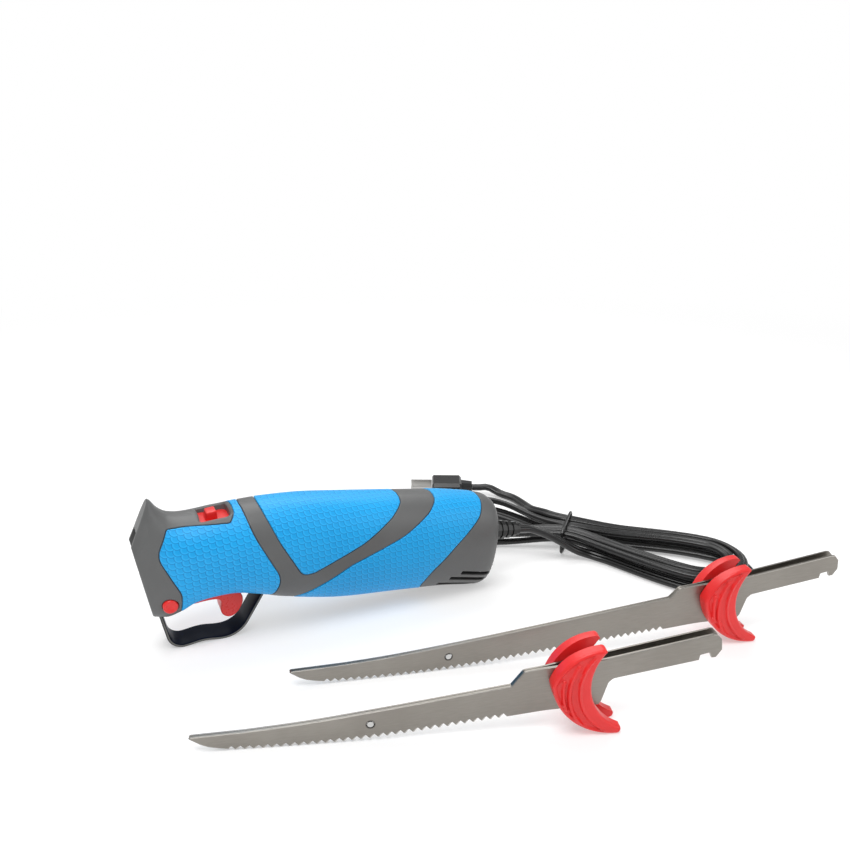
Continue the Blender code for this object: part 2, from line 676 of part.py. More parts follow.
def grip_outlines():
    """Side-view outlines of the soft panels; a panel runs on over the top, and to just short of the underside."""
    def under(x0, x1, count):
        xs = [x0 + (x1 - x0) * i / (count - 1) for i in range(count)]
        return [(x, smooth(BOTTOM_LINE, x) + UNDER_EDGE) for x in xs]

    above = GRIP_TOP + 0.004
    front = rounded([
        (0.0160, 0.0169, 0.0015), (0.0118, 0.0030, 0.0050), (0.0248, -0.0168, 0.0060), (0.0262, -0.0300, 0.0),
        *[(x, z, 0.0) for x, z in under(0.0300, 0.0640, 5)], (0.0735, -0.0235, 0.0060), (0.0755, -0.0095, 0.0060),
        (0.0592, 0.0150, 0.0200), (0.0535, 0.0280, 0.0), (0.0530, above, 0.0), (0.0508, above, 0.0),
        (0.0503, 0.0240, 0.0030), (0.0478, 0.0204, 0.0030),
    ], 3)
    middle = rounded([
        (0.0625, above, 0.0), (0.0636, 0.0275, 0.0), (0.0729, 0.0114, 0.0200), (0.0868, -0.0075, 0.0030),
        (0.0925, -0.0070, 0.0040), (0.1209, 0.0092, 0.0300), (0.1368, 0.0215, 0.0150), (0.1440, 0.0280, 0.0),
        (0.1462, above, 0.0),
    ], 3)
    rear = rounded([
        (0.0850, -0.0262, 0.0020), (0.1145, -0.0035, 0.0400), (0.1445, 0.0120, 0.0300), (0.1605, 0.0235, 0.0150),
        (0.1665, 0.0290, 0.0), (0.1690, above, 0.0), (HEEL_X - 0.0035, above, 0.0), (HEEL_X - 0.0042, 0.0270, 0.0),
        (HEEL_X - 0.0075, 0.0200, 0.0150), (HEEL_X - 0.0234, 0.0044, 0.0300), (HEEL_X - 0.0360, -0.0100, 0.0150),
        (HEEL_X - 0.0380, -0.0268, 0.0), *[(x, z, 0.0) for x, z in reversed(under(0.0900, HEEL_X - 0.0430, 6))],
    ], 3)
    return {"front": front, "middle": middle, "rear": rear}


def make_shells_and_grips():
    """Two shell halves with recesses, and the soft panels that fill the recesses."""
    body = as_cutter(body_form("body_form", 0.0, BODY_STATIONS))
    reach = FIN_X + (0.05 - FIN_TOP) * FIN_X / (FIN_TOP - NOSE_BREAK_Z)
    front = [(-0.05, 0.05), (reach, 0.05), (0.0, NOSE_BREAK_Z), (NOSE_FOOT_X, NOSE_BOTTOM),
             (NOSE_FOOT_X + 0.0049, -0.05), (-0.05, -0.05)]
    nose_cut = as_cutter(prism("nose_cut", front, -0.04, 0.04))
    hollow = as_cutter(body_form("hollow_form", WALL, CAVITY_STATIONS, CAVITY_FLOOR))
    cut_all(hollow, keep_solids())
    cuts = [hollow, nose_cut] + shell_cuts()
    outlines = grip_outlines()
    floor = as_cutter(body_form("recess_floor", GRIP_THICKNESS + GAP, BODY_STATIONS))
    under = as_cutter(body_form("grip_underside", GRIP_THICKNESS, BODY_STATIONS))
    land = as_cutter(box("bay_land", (0.0240, -BAY_LAND, -0.06), (0.0800, BAY_LAND, -0.0120)))
    land_cut = as_cutter(box("bay_land_recess", (0.0240 + GAP, GAP - BAY_LAND, -0.07),
                             (0.0800 - GAP, BAY_LAND - GAP, -0.0120 - GAP)))
    for side, name in ((-1, "left"), (1, "right")):
        def half_space(bm, side=side):
            ys = sorted((side * SPLIT / 2, side * 0.05))
            add_box(bm, (-0.03, ys[0], -0.08), (HANDLE_LENGTH + 0.03, ys[1], 0.08))
        shell = solid(f"{name}_shell", half_space, GREY_PLASTIC, HANDLE)
        combine(shell, body, "INTERSECT")
        other = "right" if side < 0 else "left"
        own = [c for c in cuts if not (c.name.startswith(("vent", "button")) and other in c.name)]
        for place, outline in outlines.items():
            ys = sorted((-side * 0.001, side * 0.05))
            recess = as_cutter(prism(f"{place}_recess_{name}", grown(outline, GAP), *ys))
            combine(recess, floor)
            combine(recess, land_cut)
            own.append(recess)
            ys = sorted((side * SPLIT / 2, side * 0.05))
            panel = prism(f"{place}_grip_{name}", outline, *ys, BLUE_SOFT, HANDLE)
            combine(panel, body, "INTERSECT")
            combine(panel, under)
            combine(panel, land)
        cut_all(shell, own)


def make_lock_slider():
    """Plate that runs in the track, with the thumb block standing up through the window."""
    at = slider_matrix()
    plate = rounded([(-SLIDER_PLATE[0] / 2, PLATE_TOP - SLIDER_PLATE[2], 0), (SLIDER_PLATE[0] / 2, PLATE_TOP - SLIDER_PLATE[2], 0),
                     (SLIDER_PLATE[0] / 2, PLATE_TOP, 0), (0.0030, PLATE_TOP, 0), (0.0024, 0.0010, 0),
                     (-0.0024, 0.0014, 0), (-0.0032, PLATE_TOP, 0), (-SLIDER_PLATE[0] / 2, PLATE_TOP, 0)])
    slider = prism("lock_slider", plate, -SLIDER_PLATE[1] / 2, SLIDER_PLATE[1] / 2, RED_PLASTIC, HANDLE)
    slider.matrix_local = at

    def shoulders(bm):
        for side in (-1, 1):
            ys = sorted((side * 0.0034, side * 0.02))
            add_box(bm, (-0.01, ys[0], PLATE_TOP), (0.01, ys[1], 0.01))
    cut = as_cutter(solid("slider_shoulders", shoulders, None, HANDLE))
    cut.matrix_local = at
    combine(slider, cut)


def make_trigger():
    """Lever on its pin, with the finger hook at its back end and a pocket for the spring."""
    hook_x, hook_z = TRIGGER_HOOK_X, TRIGGER_HOOK_Z
    outline = rounded([
        (0.0300, -0.0196, 0.0025), (0.0300, -0.0288, 0.0020), (0.0330, -0.0303, 0.0030), (0.0462, -0.0300, 0.0035),
        (0.0490, -0.0352, 0.0100), (0.0512, hook_z + 0.0004, 0.0022), (hook_x + 0.0014, hook_z - 0.0006, 0.0022),
        (0.0600, -0.0360, 0.0050), (0.0632, -0.0290, 0.0050), (0.0634, -0.0196, 0.0015),
    ], 3)
    trigger = prism("trigger", [(x - PIVOT_X, z - PIVOT_Z) for x, z in outline],
                    -TRIGGER_HALF_WIDTH, TRIGGER_HALF_WIDTH, RED_PLASTIC, HANDLE)
    trigger.location = (PIVOT_X, 0, PIVOT_Z)
    edge = trigger.modifiers.new("worn_edges", "BEVEL")
    edge.width = 0.0010
    edge.segments = 1
    edge.limit_method = "ANGLE"
    edge.angle_limit = math.radians(60)
    bore = as_cutter(turned("trigger_bore", rod_profile(-0.02, 0.02, PIVOT_RADIUS + GAP), 12, along_y(), None, trigger))
    combine(trigger, bore)
    pocket = as_cutter(turned("spring_pocket", rod_profile(-0.0042, 0.02, SPRING_RADIUS + SPRING_WIRE + GAP), 12,
                              Matrix.Translation((SPRING_X - PIVOT_X, 0, 0.0)) @ Matrix.Rotation(math.radians(-90), 4, "Y"),
                              None, trigger))
    combine(trigger, pocket)
    turned("trigger_pin", rod_profile(-PIN_HALF, PIN_HALF, PIVOT_RADIUS), 12, along_y(PIVOT_X, PIVOT_Z), BRIGHT_STEEL, HANDLE)


def coil_spring(name, start, end, radius, wire, coils, parent):
    """An open coil between two points, with a flat end at each seat."""
    axis = Vector(end) - Vector(start)
    across = axis.orthogonal().normalized()
    other = axis.normalized().cross(across)
    steps = coils * 7
    curve = bpy.data.curves.new(name, "CURVE")
    curve.dimensions = "3D"
    curve.bevel_depth = wire
    curve.bevel_resolution = 0
    curve.use_fill_caps = True
    line = curve.splines.new("POLY")
    line.points.add(steps)
    for i in range(steps + 1):
        turn = 2 * math.pi * coils * i / steps
        p = Vector(start) + axis * (i / steps) + (across * math.cos(turn) + other * math.sin(turn)) * radius
        line.points[i].co = (*p, 1.0)
    return link(name, curve, BRIGHT_STEEL, parent)


def make_trigger_parts():
    """Spring under the shelf, sealed switch, and the guard strip seated in the nose and the bay."""
    low = (SPRING_X, 0, PIVOT_Z - 0.0042 + GAP + SPRING_WIRE)
    high = (SPRING_X, 0, SHELF_Z[0] - GAP - SPRING_WIRE)
    coil_spring("trigger_spring", low, high, SPRING_RADIUS, SPRING_WIRE, SPRING_COILS, HANDLE)
    box("power_switch", (SPRING_X + 0.0035, -0.0050, SHELF_Z[0] - GAP - 0.0060),
        (SHELF_X[1] - 0.0005, 0.0050, SHELF_Z[0] - GAP), NYLON_DARK, HANDLE)
    strip = ribbon(guard_line(), GUARD_THICKNESS)
    prism("trigger_guard", strip, -GUARD_WIDTH / 2, GUARD_WIDTH / 2, NAVY_GLOSS, HANDLE)


def make_release_buttons():
    """Red buttons on both sides of the nose, each with its flange and spring."""
    face = side_half_width(BUTTON_X, BUTTON_Z)
    for side, name in ((-1, "left"), (1, "right")):
        out = face + BUTTON_PROUD
        flange = face - 0.0030 - GAP
        profile = [(flange - 0.0012, 0), (flange - 0.0012, BUTTON_RADIUS + 0.0010), (flange, BUTTON_RADIUS + 0.0010),
                   (flange, BUTTON_RADIUS), (out - 0.0006, BUTTON_RADIUS), (out, BUTTON_RADIUS - 0.0006), (out, 0)]
        button = turned(f"release_button_{name}", [(side * (x - face), r) for x, r in profile], 16, along_y(),
                        RED_PLASTIC, HANDLE)
        button.location = (BUTTON_X, side * face, BUTTON_Z)
        seat = side * (face - 0.0085 + GAP + SPRING_WIRE)
        back = side * (flange - 0.0012 - GAP - SPRING_WIRE)
        coil_spring(f"release_spring_{name}", (BUTTON_X, seat, BUTTON_Z), (BUTTON_X, back, BUTTON_Z), 0.0026,
                    SPRING_WIRE, 3, HANDLE)


def make_motor():
    """Cup-shaped can, end bell, armature on the worm shaft, front bearing and fan."""
    at = Matrix.Translation((0, 0, MOTOR_AXIS_Z))
    back = MOTOR_FRONT + MOTOR_LENGTH
    bore = SHAFT_RADIUS + GAP
    inner = MOTOR_RADIUS - MOTOR_WALL
    turned("motor_can", [(MOTOR_FRONT - 0.0020, bore), (MOTOR_FRONT - 0.0020, 0.0060), (MOTOR_FRONT, 0.0060),
                         (MOTOR_FRONT, MOTOR_RADIUS - 0.0012), (MOTOR_FRONT + 0.0012, MOTOR_RADIUS), (back, MOTOR_RADIUS),
                         (back, inner), (MOTOR_FRONT + MOTOR_WALL, inner), (MOTOR_FRONT + MOTOR_WALL, bore)],
           16, at, MOTOR_STEEL, HANDLE)
    turned("motor_end_bell", [(back - 0.0030, bore), (back - 0.0030, inner - GAP), (back + GAP, inner - GAP),
                              (back + GAP, MOTOR_RADIUS), (back + 0.0040, MOTOR_RADIUS), (back + 0.0060, 0.0100),
                              (back + 0.0075, 0.0060), (back + 0.0075, bore)], 16, at, WHITE_NYLON, HANDLE)
    shaft = empty("rotor_axis", (0, 0, MOTOR_AXIS_Z), parent=HANDLE)
    core = MOTOR_RADIUS - 0.0050
    worm_start = GEAR_X - WORM_LEAD * WORM_TURNS / 2
    worm_end = GEAR_X + WORM_LEAD * WORM_TURNS / 2
    armature = turned("armature", [
        (BEARING_FRONT - 0.0005, 0), (BEARING_FRONT - 0.0005, SHAFT_RADIUS), (worm_start - 0.0010, SHAFT_RADIUS),
        (worm_start - 0.0010, WORM_ROOT), (worm_end + 0.0010, WORM_ROOT), (worm_end + 0.0010, SHAFT_RADIUS),
        (MOTOR_FRONT + 0.0080, SHAFT_RADIUS), (MOTOR_FRONT + 0.0080, core), (back - 0.0160, core),
        (back - 0.0160, 0.0060), (back - 0.0060, 0.0060), (back - 0.0060, SHAFT_RADIUS),
        (back + 0.0180, SHAFT_RADIUS), (back + 0.0180, 0)], 12, None, MOTOR_STEEL, shaft)

    def thread(bm):
        steps = 8
        rings = []
        for i in range(WORM_TURNS * steps - steps + 1):
            turn = 2 * math.pi * i / steps + math.radians(90)
            x = GEAR_X + WORM_LEAD * (i / steps - (WORM_TURNS - 1) / 2)
            ring = []
            for dx, r in ((-0.00085, WORM_ROOT - 0.0004), (-0.00035, WORM_TIP), (0.00035, WORM_TIP),
                          (0.00085, WORM_ROOT - 0.0004)):
                ring.append(Vector((x + dx, r * math.cos(turn), r * math.sin(turn))))
            rings.append(ring)
        add_rings(bm, rings)
    combine(armature, as_cutter(solid("worm_thread", thread, None, shaft)), "UNION")
    turned("front_bearing", ring_profile(BEARING_FRONT, BEARING_FRONT + BEARING_WIDTH, bore, BEARING_RADIUS), 12, at,
           BRASS, HANDLE)

    hub = 0.0045
    start = back + 0.0095
    width = 0.0060
    fan = turned("cooling_fan", [(start, bore), (start, FAN_RADIUS), (start + 0.0012, FAN_RADIUS), (start + 0.0012, hub),
                                 (start + width, hub), (start + width, bore)], 16, None, WHITE_NYLON, shaft)

    def vanes(bm):
        for i in range(FAN_BLADES):
            turn = Matrix.Rotation(2 * math.pi * i / FAN_BLADES, 4, "X")
            add_box(bm, (start + 0.0006, -0.0004, hub - 0.0005), (start + width, 0.0004, FAN_RADIUS - 0.0006), turn)
    combine(fan, as_cutter(solid("fan_vanes", vanes, None, shaft)), "UNION")


def gear_outline(turn):
    """Tooth outline about the gear's axis, with a tooth space straight below the axis at turn 0."""
    distance = SHANK_AXIS_Z - MOTOR_AXIS_Z
    tip = distance - WORM_ROOT - 0.0005
    root = distance - WORM_TIP - 0.0004
    points = []
    for k in range(GEAR_TEETH):
        middle = 2 * math.pi * (k + 0.5) / GEAR_TEETH - math.pi / 2 + turn
        for offset, radius in ((-0.34, root), (-0.14, tip), (0.14, tip), (0.34, root)):
            angle = middle + offset * 2 * math.pi / GEAR_TEETH
            points.append((radius * math.cos(angle), radius * math.sin(angle)))
    return points


def make_drive_gear():
    """Worm wheel with slanted teeth and a crank pin on each face, half a turn apart, on its axle."""
    axis = empty("gear_axis", (GEAR_X, 0, SHANK_AXIS_Z), parent=HANDLE)
    pitch_radius = GEAR_TEETH * WORM_LEAD / (2 * math.pi)
    worm_pitch = SHANK_AXIS_Z - MOTOR_AXIS_Z - pitch_radius
    slant = WORM_LEAD / (2 * math.pi * worm_pitch) * (GEAR_WIDTH / 2) / pitch_radius

    def wheel(bm):
        rings = []
        for share in (-1, 0, 1):
            y = share * GEAR_WIDTH / 2
            rings.append([Vector((x, y, z)) for x, z in gear_outline(-share * slant)])
        add_rings(bm, rings)
    gear = solid("drive_gear", wheel, WHITE_NYLON, axis)
    combine(gear, as_cutter(turned("gear_bore", rod_profile(-0.01, 0.01, SHAFT_RADIUS + GAP), 12, along_y(), None, axis)))
    for side, name in ((-1, "left"), (1, "right")):
        ends = sorted((side * (GEAR_WIDTH / 2 - 0.0010), side * (CARRIER_PLATE[1] + 0.0003)))
        pin = turned(f"crank_pin_{name}", rod_profile(*ends, CRANK_PIN_RADIUS - 0.0003), 10,
                     along_y(0, -side * (CRANK_RADIUS + 0.0006)), None, axis)
        combine(gear, as_cutter(pin), "UNION")
    turned("gear_axle", rod_profile(-0.0120, 0.0120, SHAFT_RADIUS), 12, along_y(), BRIGHT_STEEL, axis)


def make_carriers():
    """Blade holders: a socket for the shank in front, and the crank window behind, beside the gear."""
    outer = CARRIER_PLATE[1]
    top = WINDOW_HALF + WINDOW_FRAME
    side_view = [(CARRIER_FRONT, -SOCKET_HALF_HEIGHT), (0.0540, -SOCKET_HALF_HEIGHT), (0.0620, -top),
                 (CARRIER_BACK, -top), (CARRIER_BACK, top), (0.0620, top), (0.0540, SOCKET_HALF_HEIGHT),
                 (CARRIER_FRONT, SOCKET_HALF_HEIGHT)]
    side_view = [(x, z + SHANK_AXIS_Z) for x, z in side_view]
    for side, name in ((-1, "left"), (1, "right")):
        def plan(bm, side=side):
            corners = ((CARRIER_FRONT - 0.001, 0.0008), (CARRIER_BLOCK_BACK, 0.0008),
                       (CARRIER_BLOCK_BACK, CARRIER_PLATE[0]), (CARRIER_BACK + 0.001, CARRIER_PLATE[0]),
                       (CARRIER_BACK + 0.001, outer), (CARRIER_PLATE_FRONT, outer),
                       (CARRIER_PLATE_FRONT, CARRIER_HALF_WIDTH), (CARRIER_FRONT - 0.001, CARRIER_HALF_WIDTH))
            add_rings(bm, [[Vector((x, side * y, z)) for x, y in corners] for z in (-0.03, 0.04)])
        guide = as_cutter(solid(f"carrier_plan_{name}", plan, None, HANDLE))
        carrier = prism(f"blade_carrier_{name}", side_view, -0.02, 0.02, MOTOR_STEEL, HANDLE)
        combine(carrier, guide, "INTERSECT")
        middle = side * SHANK_PITCH / 2
        half = BLADE_THICKNESS / 2 + GAP
        tall = SHANK_HEIGHT / 2 + GAP
        combine(carrier, as_cutter(box(f"shank_socket_{name}", (0.0, middle - half, SHANK_AXIS_Z - tall),
                                       (SOCKET_BACK, middle + half, SHANK_AXIS_Z + tall), None, HANDLE)))
        ys = sorted((side * 0.0058, side * 0.0095))
        combine(carrier, as_cutter(box(f"crank_window_{name}", (GEAR_X - WINDOW_HALF, ys[0], SHANK_AXIS_Z - WINDOW_HALF),
                                       (GEAR_X + WINDOW_HALF, ys[1], SHANK_AXIS_Z + WINDOW_HALF), None, HANDLE)))


def make_screws():
    """Housing screws from the right, with a plain slot in each head."""
    for name, (x, z, head, end) in SCREWS.items():
        profile = [(end, 0), (end, SCREW_SHANK), (head, SCREW_SHANK), (head, SCREW_HEAD),
                   (head + SCREW_HEAD_HEIGHT, SCREW_HEAD), (head + SCREW_HEAD_HEIGHT, 0)]
        turned(name, profile, 10, along_y(x, z), BRIGHT_STEEL, HANDLE)


def belly(u):
    """Height of the tooth-tip line: straight at the heel, an arc of BELLY_RADIUS towards the point."""
    return max(0.0, BELLY_START - u) ** 2 / (2 * BELLY_RADIUS)


SPINE_LINE = ((-0.0190, 0.0160), (0.0, 0.0148), (0.0350, 0.0139), (0.0640, 0.0143), (0.1000, 0.0153))
HEEL = {
    "step_foot": (0.0018, 0.0167), "step_top": (0.0094, 0.0242), "guard_top": (0.0480, 0.0251),
    "shank_top": (0.0981, 0.0277), "end_top": (0.1000, 0.0273), "end_back": (0.1022, 0.0243),
    "hook_back": (0.1022, 0.0190), "hook_low": (0.0992, 0.0154), "hook_front": (0.0970, 0.0154),
    "notch_back": (0.0962, 0.0183), "notch_front": (0.0917, 0.0178), "notch_low": (0.0911, 0.0152),
    "heel_inner": (0.0502, 0.0127), "heel_slant": (0.0479, 0.0110), "heel_back": (0.0440, 0.0016),
    "heel_low": (0.0425, 0.0),
}


def blade_outline(teeth):
    """Side view of one blade as (u, t) points, and the marks of those that the bevel is ground on."""
    last = (teeth - 1) * PITCH
    edge = []
    for k in range(teeth - 1, -1, -1):
        u = k * PITCH
        edge.append((u + TOOTH_FLAT / 2, belly(u)))
        edge.append((u - TOOTH_FLAT / 2, belly(u)))
        edge.append((u - PITCH * 0.46, belly(u) + TOOTH_DEPTH))
    first = belly(0)
    edge += [(-0.0034, first + 0.0008), (-0.0078, first + 0.0020), (-0.0119, 0.0098), (-0.0153, 0.0118),
             (-0.0186, 0.0146)]
    spine = [(-0.0197, 0.0157), (-0.0190, 0.0162)]
    reach = last + HEEL["step_foot"][0]
    for share in (0.12, 0.26, 0.4, 0.55, 0.7, 0.85):
        u = reach * share
        spine.append((u, smooth(SPINE_LINE[:4] + ((reach, HEEL["step_foot"][1]),), u)))
    order = ("step_foot", "step_top", "guard_top", "shank_top", "end_top", "end_back", "hook_back", "hook_low",
             "hook_front", "notch_back", "notch_front", "notch_low", "heel_inner", "heel_slant", "heel_back",
             "heel_low")
    heel = [(last + HEEL[n][0], HEEL[n][1]) for n in order]
    toe = [(last + 0.0060, 0.0)]
    outline = edge + spine + heel + toe
    return outline, len(edge)


def jog(u, last):
    """How far a blade stands off the middle of the pair: together at the teeth, apart at the shank."""
    share = min(1.0, max(0.0, (u - last - JOG_START) / (JOG_END - JOG_START)))
    share = share * share * (3 - 2 * share)
    near = SPLIT / 2
    far = (SHANK_PITCH - BLADE_THICKNESS) / 2
    return near + (far - near) * share


def jog_cuts(bm, last):
    """Edge loops across a flat piece where the blades splay."""
    for k in range(7):
        u = last + JOG_START + (JOG_END - JOG_START) * k / 6
        parts = bm.verts[:] + bm.edges[:] + bm.faces[:]
        bmesh.ops.bisect_plane(bm, geom=parts, plane_co=(u, 0, 0), plane_no=(1, 0, 0), dist=1e-6)


def make_blade(name, teeth, side, parent):
    """One stamped, serrated blade: bevel ground on the outer face, heel bent out to its shank."""
    last = (teeth - 1) * PITCH
    outline, ground = blade_outline(teeth)

    def build(bm):
        inner = [bm.verts.new((u, 0.0, t)) for u, t in outline]
        outer = [bm.verts.new((u, BLADE_THICKNESS, t + (GROUND_BEVEL if i < ground else 0.0)))
                 for i, (u, t) in enumerate(outline)]
        count = len(outline)
        for i in range(count):
            j = (i + 1) % count
            bm.faces.new((inner[i], inner[j], outer[j], outer[i]))
        bm.faces.new(inner)
        bm.faces.new(list(reversed(outer)))
        jog_cuts(bm, last)
        for v in bm.verts:
            v.co.y = side * (v.co.y + jog(v.co.x, last))
    return solid(name, build, BLADE_STEEL, parent)


WING = {
    "horn": (0.0468, 0.0308), "horn_top": (0.0440, 0.0324), "crown": (0.0300, 0.0284), "front": (0.0204, 0.0170),
    "belly": (0.0275, -0.0020), "tail": (0.0485, -0.0134), "tail_back": (0.0512, -0.0108), "waist": (0.0386, 0.0152),
}
WING_RIBS = (
    ((0.0255, 0.0184), (0.0250, 0.0120), (0.0254, 0.0058), 0.0014),
    ((0.0335, 0.0248), (0.0299, 0.0114), (0.0356, -0.0070), 0.0018),
    ((0.0413, 0.0276), (0.0358, 0.0112), (0.0443, -0.0106), 0.0024),
)
WING_RIB_HEIGHT = 0.0007


def wing_outline():
    """Crescent of the guard: a full outer curve from the horn to the tail, and a hollow back."""
    w = WING
    points = arc_through(w["horn_top"], w["crown"], w["front"], 5)
    points += arc_through(w["front"], w["belly"], w["tail"], 7)
    points += arc_through(w["tail"], (w["tail"][0] + 0.0024, w["tail"][1] + 0.0002), w["tail_back"], 3)
    points += arc_through(w["tail_back"], w["waist"], w["horn"], 7)
    points += [w["horn"]]
    return points


def make_guard(name, teeth, side, parent):
    """One red wing of the hand guard, moulded on its blade's outer face, with three raised finger ribs."""
    last = (teeth - 1) * PITCH
    outline = [(u + last, t) for u, t in wing_outline()]
    inset = [(u + last, t) for u, t in grown(wing_outline(), -0.0009)]
    face = SHANK_PITCH / 2 + BLADE_THICKNESS / 2 + WING_THICKNESS - WING_RIB_HEIGHT

    def build(bm):
        levels = ((0.0, outline), (1.0, outline), (2.0, inset))
        add_rings(bm, [[Vector((u, level, t)) for u, t in line] for level, line in levels])
        jog_cuts(bm, last)
        for v in bm.verts:
            inner = jog(v.co.x, last) + BLADE_THICKNESS + GAP
            rim = face - 0.0009
            share = min(v.co.y, 1.0)
            v.co.y = side * (inner + (rim - inner) * share + 0.0009 * max(0.0, v.co.y - 1.0))
    guard = solid(name, build, RED_GUARD, parent, 40)

    def ribs(bm):
        for start, middle, end, width in WING_RIBS:
            line = arc_through(start, middle, end, 5) + [end]
            strip = ribbon([(u + last, t) for u, t in line], width)
            ys = sorted((side * (face - 0.001), side * (face + WING_RIB_HEIGHT)))
            add_prism(bm, strip, *ys)
    return combine(guard, as_cutter(solid(f"{name}_ribs", ribs, None, parent)), "UNION")


def make_stud(name, parent):
    """Small rivet: fixed in the left blade, its wide head behind the slot in the right blade."""
    inner = SPLIT / 2 + BLADE_THICKNESS
    profile = [(-inner, 0), (-inner, STUD_RADIUS), (inner + GAP, STUD_RADIUS), (inner + GAP, 0.0026),
               (inner + GAP + 0.0008, 0.0026), (inner + GAP + 0.0008, 0)]
    return turned(name, profile, 12, along_y(STUD_U, STUD_T), BRIGHT_STEEL, parent)


SET_FRAMES = {}


def rest_slope(teeth):
    """Tilt of a blade pair that stands on its guard tails and on the belly of its edge."""
    last = (teeth - 1) * PITCH
    blade = [(u, t) for u, t in blade_outline(teeth)[0] if u < last - 0.02]
    wing = [(u + last, t) for u, t in wing_outline()]

    def lowest(points, slope):
        return min(u * math.sin(slope) + t * math.cos(slope) for u, t in points)
    low, high = 0.0, 0.3
    for _ in range(40):
        middle = (low + high) / 2
        if lowest(wing, middle) < lowest(blade, middle):
            low = middle
        else:
            high = middle
    return middle


def make_blade_set(prefix, teeth, place, heading):
    """A left and a right blade with their guards and stud, standing on the guards and the belly."""
    slope = rest_slope(teeth)
    low = min(u * math.sin(slope) + t * math.cos(slope)
              for u, t in [((teeth - 1) * PITCH + a, b) for a, b in wing_outline()])
    frame = empty(f"{prefix}_set_frame", parent=FRAME)
    SET_FRAMES[frame] = ((*place, -low), (0, -slope, heading))
    slide = CARRIER_STROKE + STUD_RADIUS + 0.0018
    for side, name in ((-1, "left"), (1, "right")):
        blade = make_blade(f"{prefix}_blade_{name}", teeth, side, frame)
        make_guard(f"{prefix}_guard_{name}", teeth, side, frame)
        if side < 0:
            hole = turned(f"{prefix}_stud_hole", rod_profile(-0.01, 0.01, STUD_RADIUS + 0.0004), 12,
                          along_y(STUD_U, STUD_T), None, frame)
        else:
            half = STUD_RADIUS + 0.0003
            slot = rounded([(-slide, -half, half), (slide, -half, half), (slide, half, half), (-slide, half, half)], 4)
            hole = prism(f"{prefix}_stud_slot", [(x + STUD_U, z + STUD_T) for x, z in slot], -0.01, 0.01, None, frame)
        combine(blade, as_cutter(hole))
    make_stud(f"{prefix}_blade_stud", frame)
    return frame


def sampled(points, spacing):
    """Points at an even spacing along a smooth curve, which keeps its two end stretches straight."""
    fine = []
    for a, b, c, d in zip(points, points[1:], points[2:], points[3:]):
        for k in range(16):
            s = k / 16
            fine.append(0.5 * (2 * b + (c - a) * s + (2 * a - 5 * b + 4 * c - d) * s * s
                               + (3 * b - a - 3 * c + d) * s ** 3))
    fine.append(points[-2])
    lengths = [0.0]
    for p, q in zip(fine, fine[1:]):
        lengths.append(lengths[-1] + (q - p).length)
    count = max(2, round(lengths[-1] / spacing))
    out, k = [], 0
    for i in range(count + 1):
        want = lengths[-1] * i / count
        while k < len(fine) - 2 and lengths[k + 1] < want:
            k += 1
        share = (want - lengths[k]) / max(lengths[k + 1] - lengths[k], 1e-9)
        out.append(fine[k].lerp(fine[k + 1], min(share, 1.0)))
    return [points[0]] + out + [points[-1]]


def tube(name, points, radius, resolution, material, parent, closed=False):
    """A round tube along points."""
    curve = bpy.data.curves.new(name, "CURVE")
    curve.dimensions = "3D"
    curve.bevel_depth = radius
    curve.bevel_resolution = resolution
    curve.use_fill_caps = True
    line = curve.splines.new("POLY")
    line.points.add(len(points) - 1)
    line.use_cyclic_u = closed
    for i, p in enumerate(points):
        line.points[i].co = (*p, 1.0)
    return link(name, curve, material, parent)


# Hank: inwards on the floor, up a layer round one fold, then outwards again on top of the same loops
SIDE_STEP = 0.0077
HANK_START = 0.0460
HANK_END = 0.0080
END_FREE = 0.0010
TIE_COLUMNS = (-1.5, 1.5, -0.5, 0.5, -0.5, 0.5, -1.5, 1.5)
RIGHT_RUN = 0.0900
LEFT_RUN = 0.0620
INNER = FOLD_RADIUS
OUTER = FOLD_RADIUS + SIDE_STEP
LOBES = (
    (OUTER, 0.0, RIGHT_RUN), (OUTER, 0.0, LEFT_RUN), (INNER, 0.0, RIGHT_RUN), (INNER, 0.0, LEFT_RUN),
    (INNER, 0.0030, RIGHT_RUN - 0.0060), (OUTER, 0.0, LEFT_RUN), (OUTER, 0.0030, RIGHT_RUN - 0.0060),
)
# Fan: sideways slope of both lobes far from the tie, and how far from it the slope builds up
LEFT_FAN = (0.1500, 0.0300)
RIGHT_FAN = (-0.2000, 0.0300)
TIE_LIFT = 0.0028


def ease(s):
    s = min(1.0, max(0.0, s))
    return s * s * (3 - 2 * s)


def fanned(along, across):
    """Maps a point of a straight loop onto its fanned lobe, measured from the tie."""
    fan, start = RIGHT_FAN if along > 0 else LEFT_FAN
    root = math.hypot(along, start)
    lean = fan * along / root
    norm = math.hypot(1, lean)
    return along - across * lean / norm, fan * (root - start) + across / norm


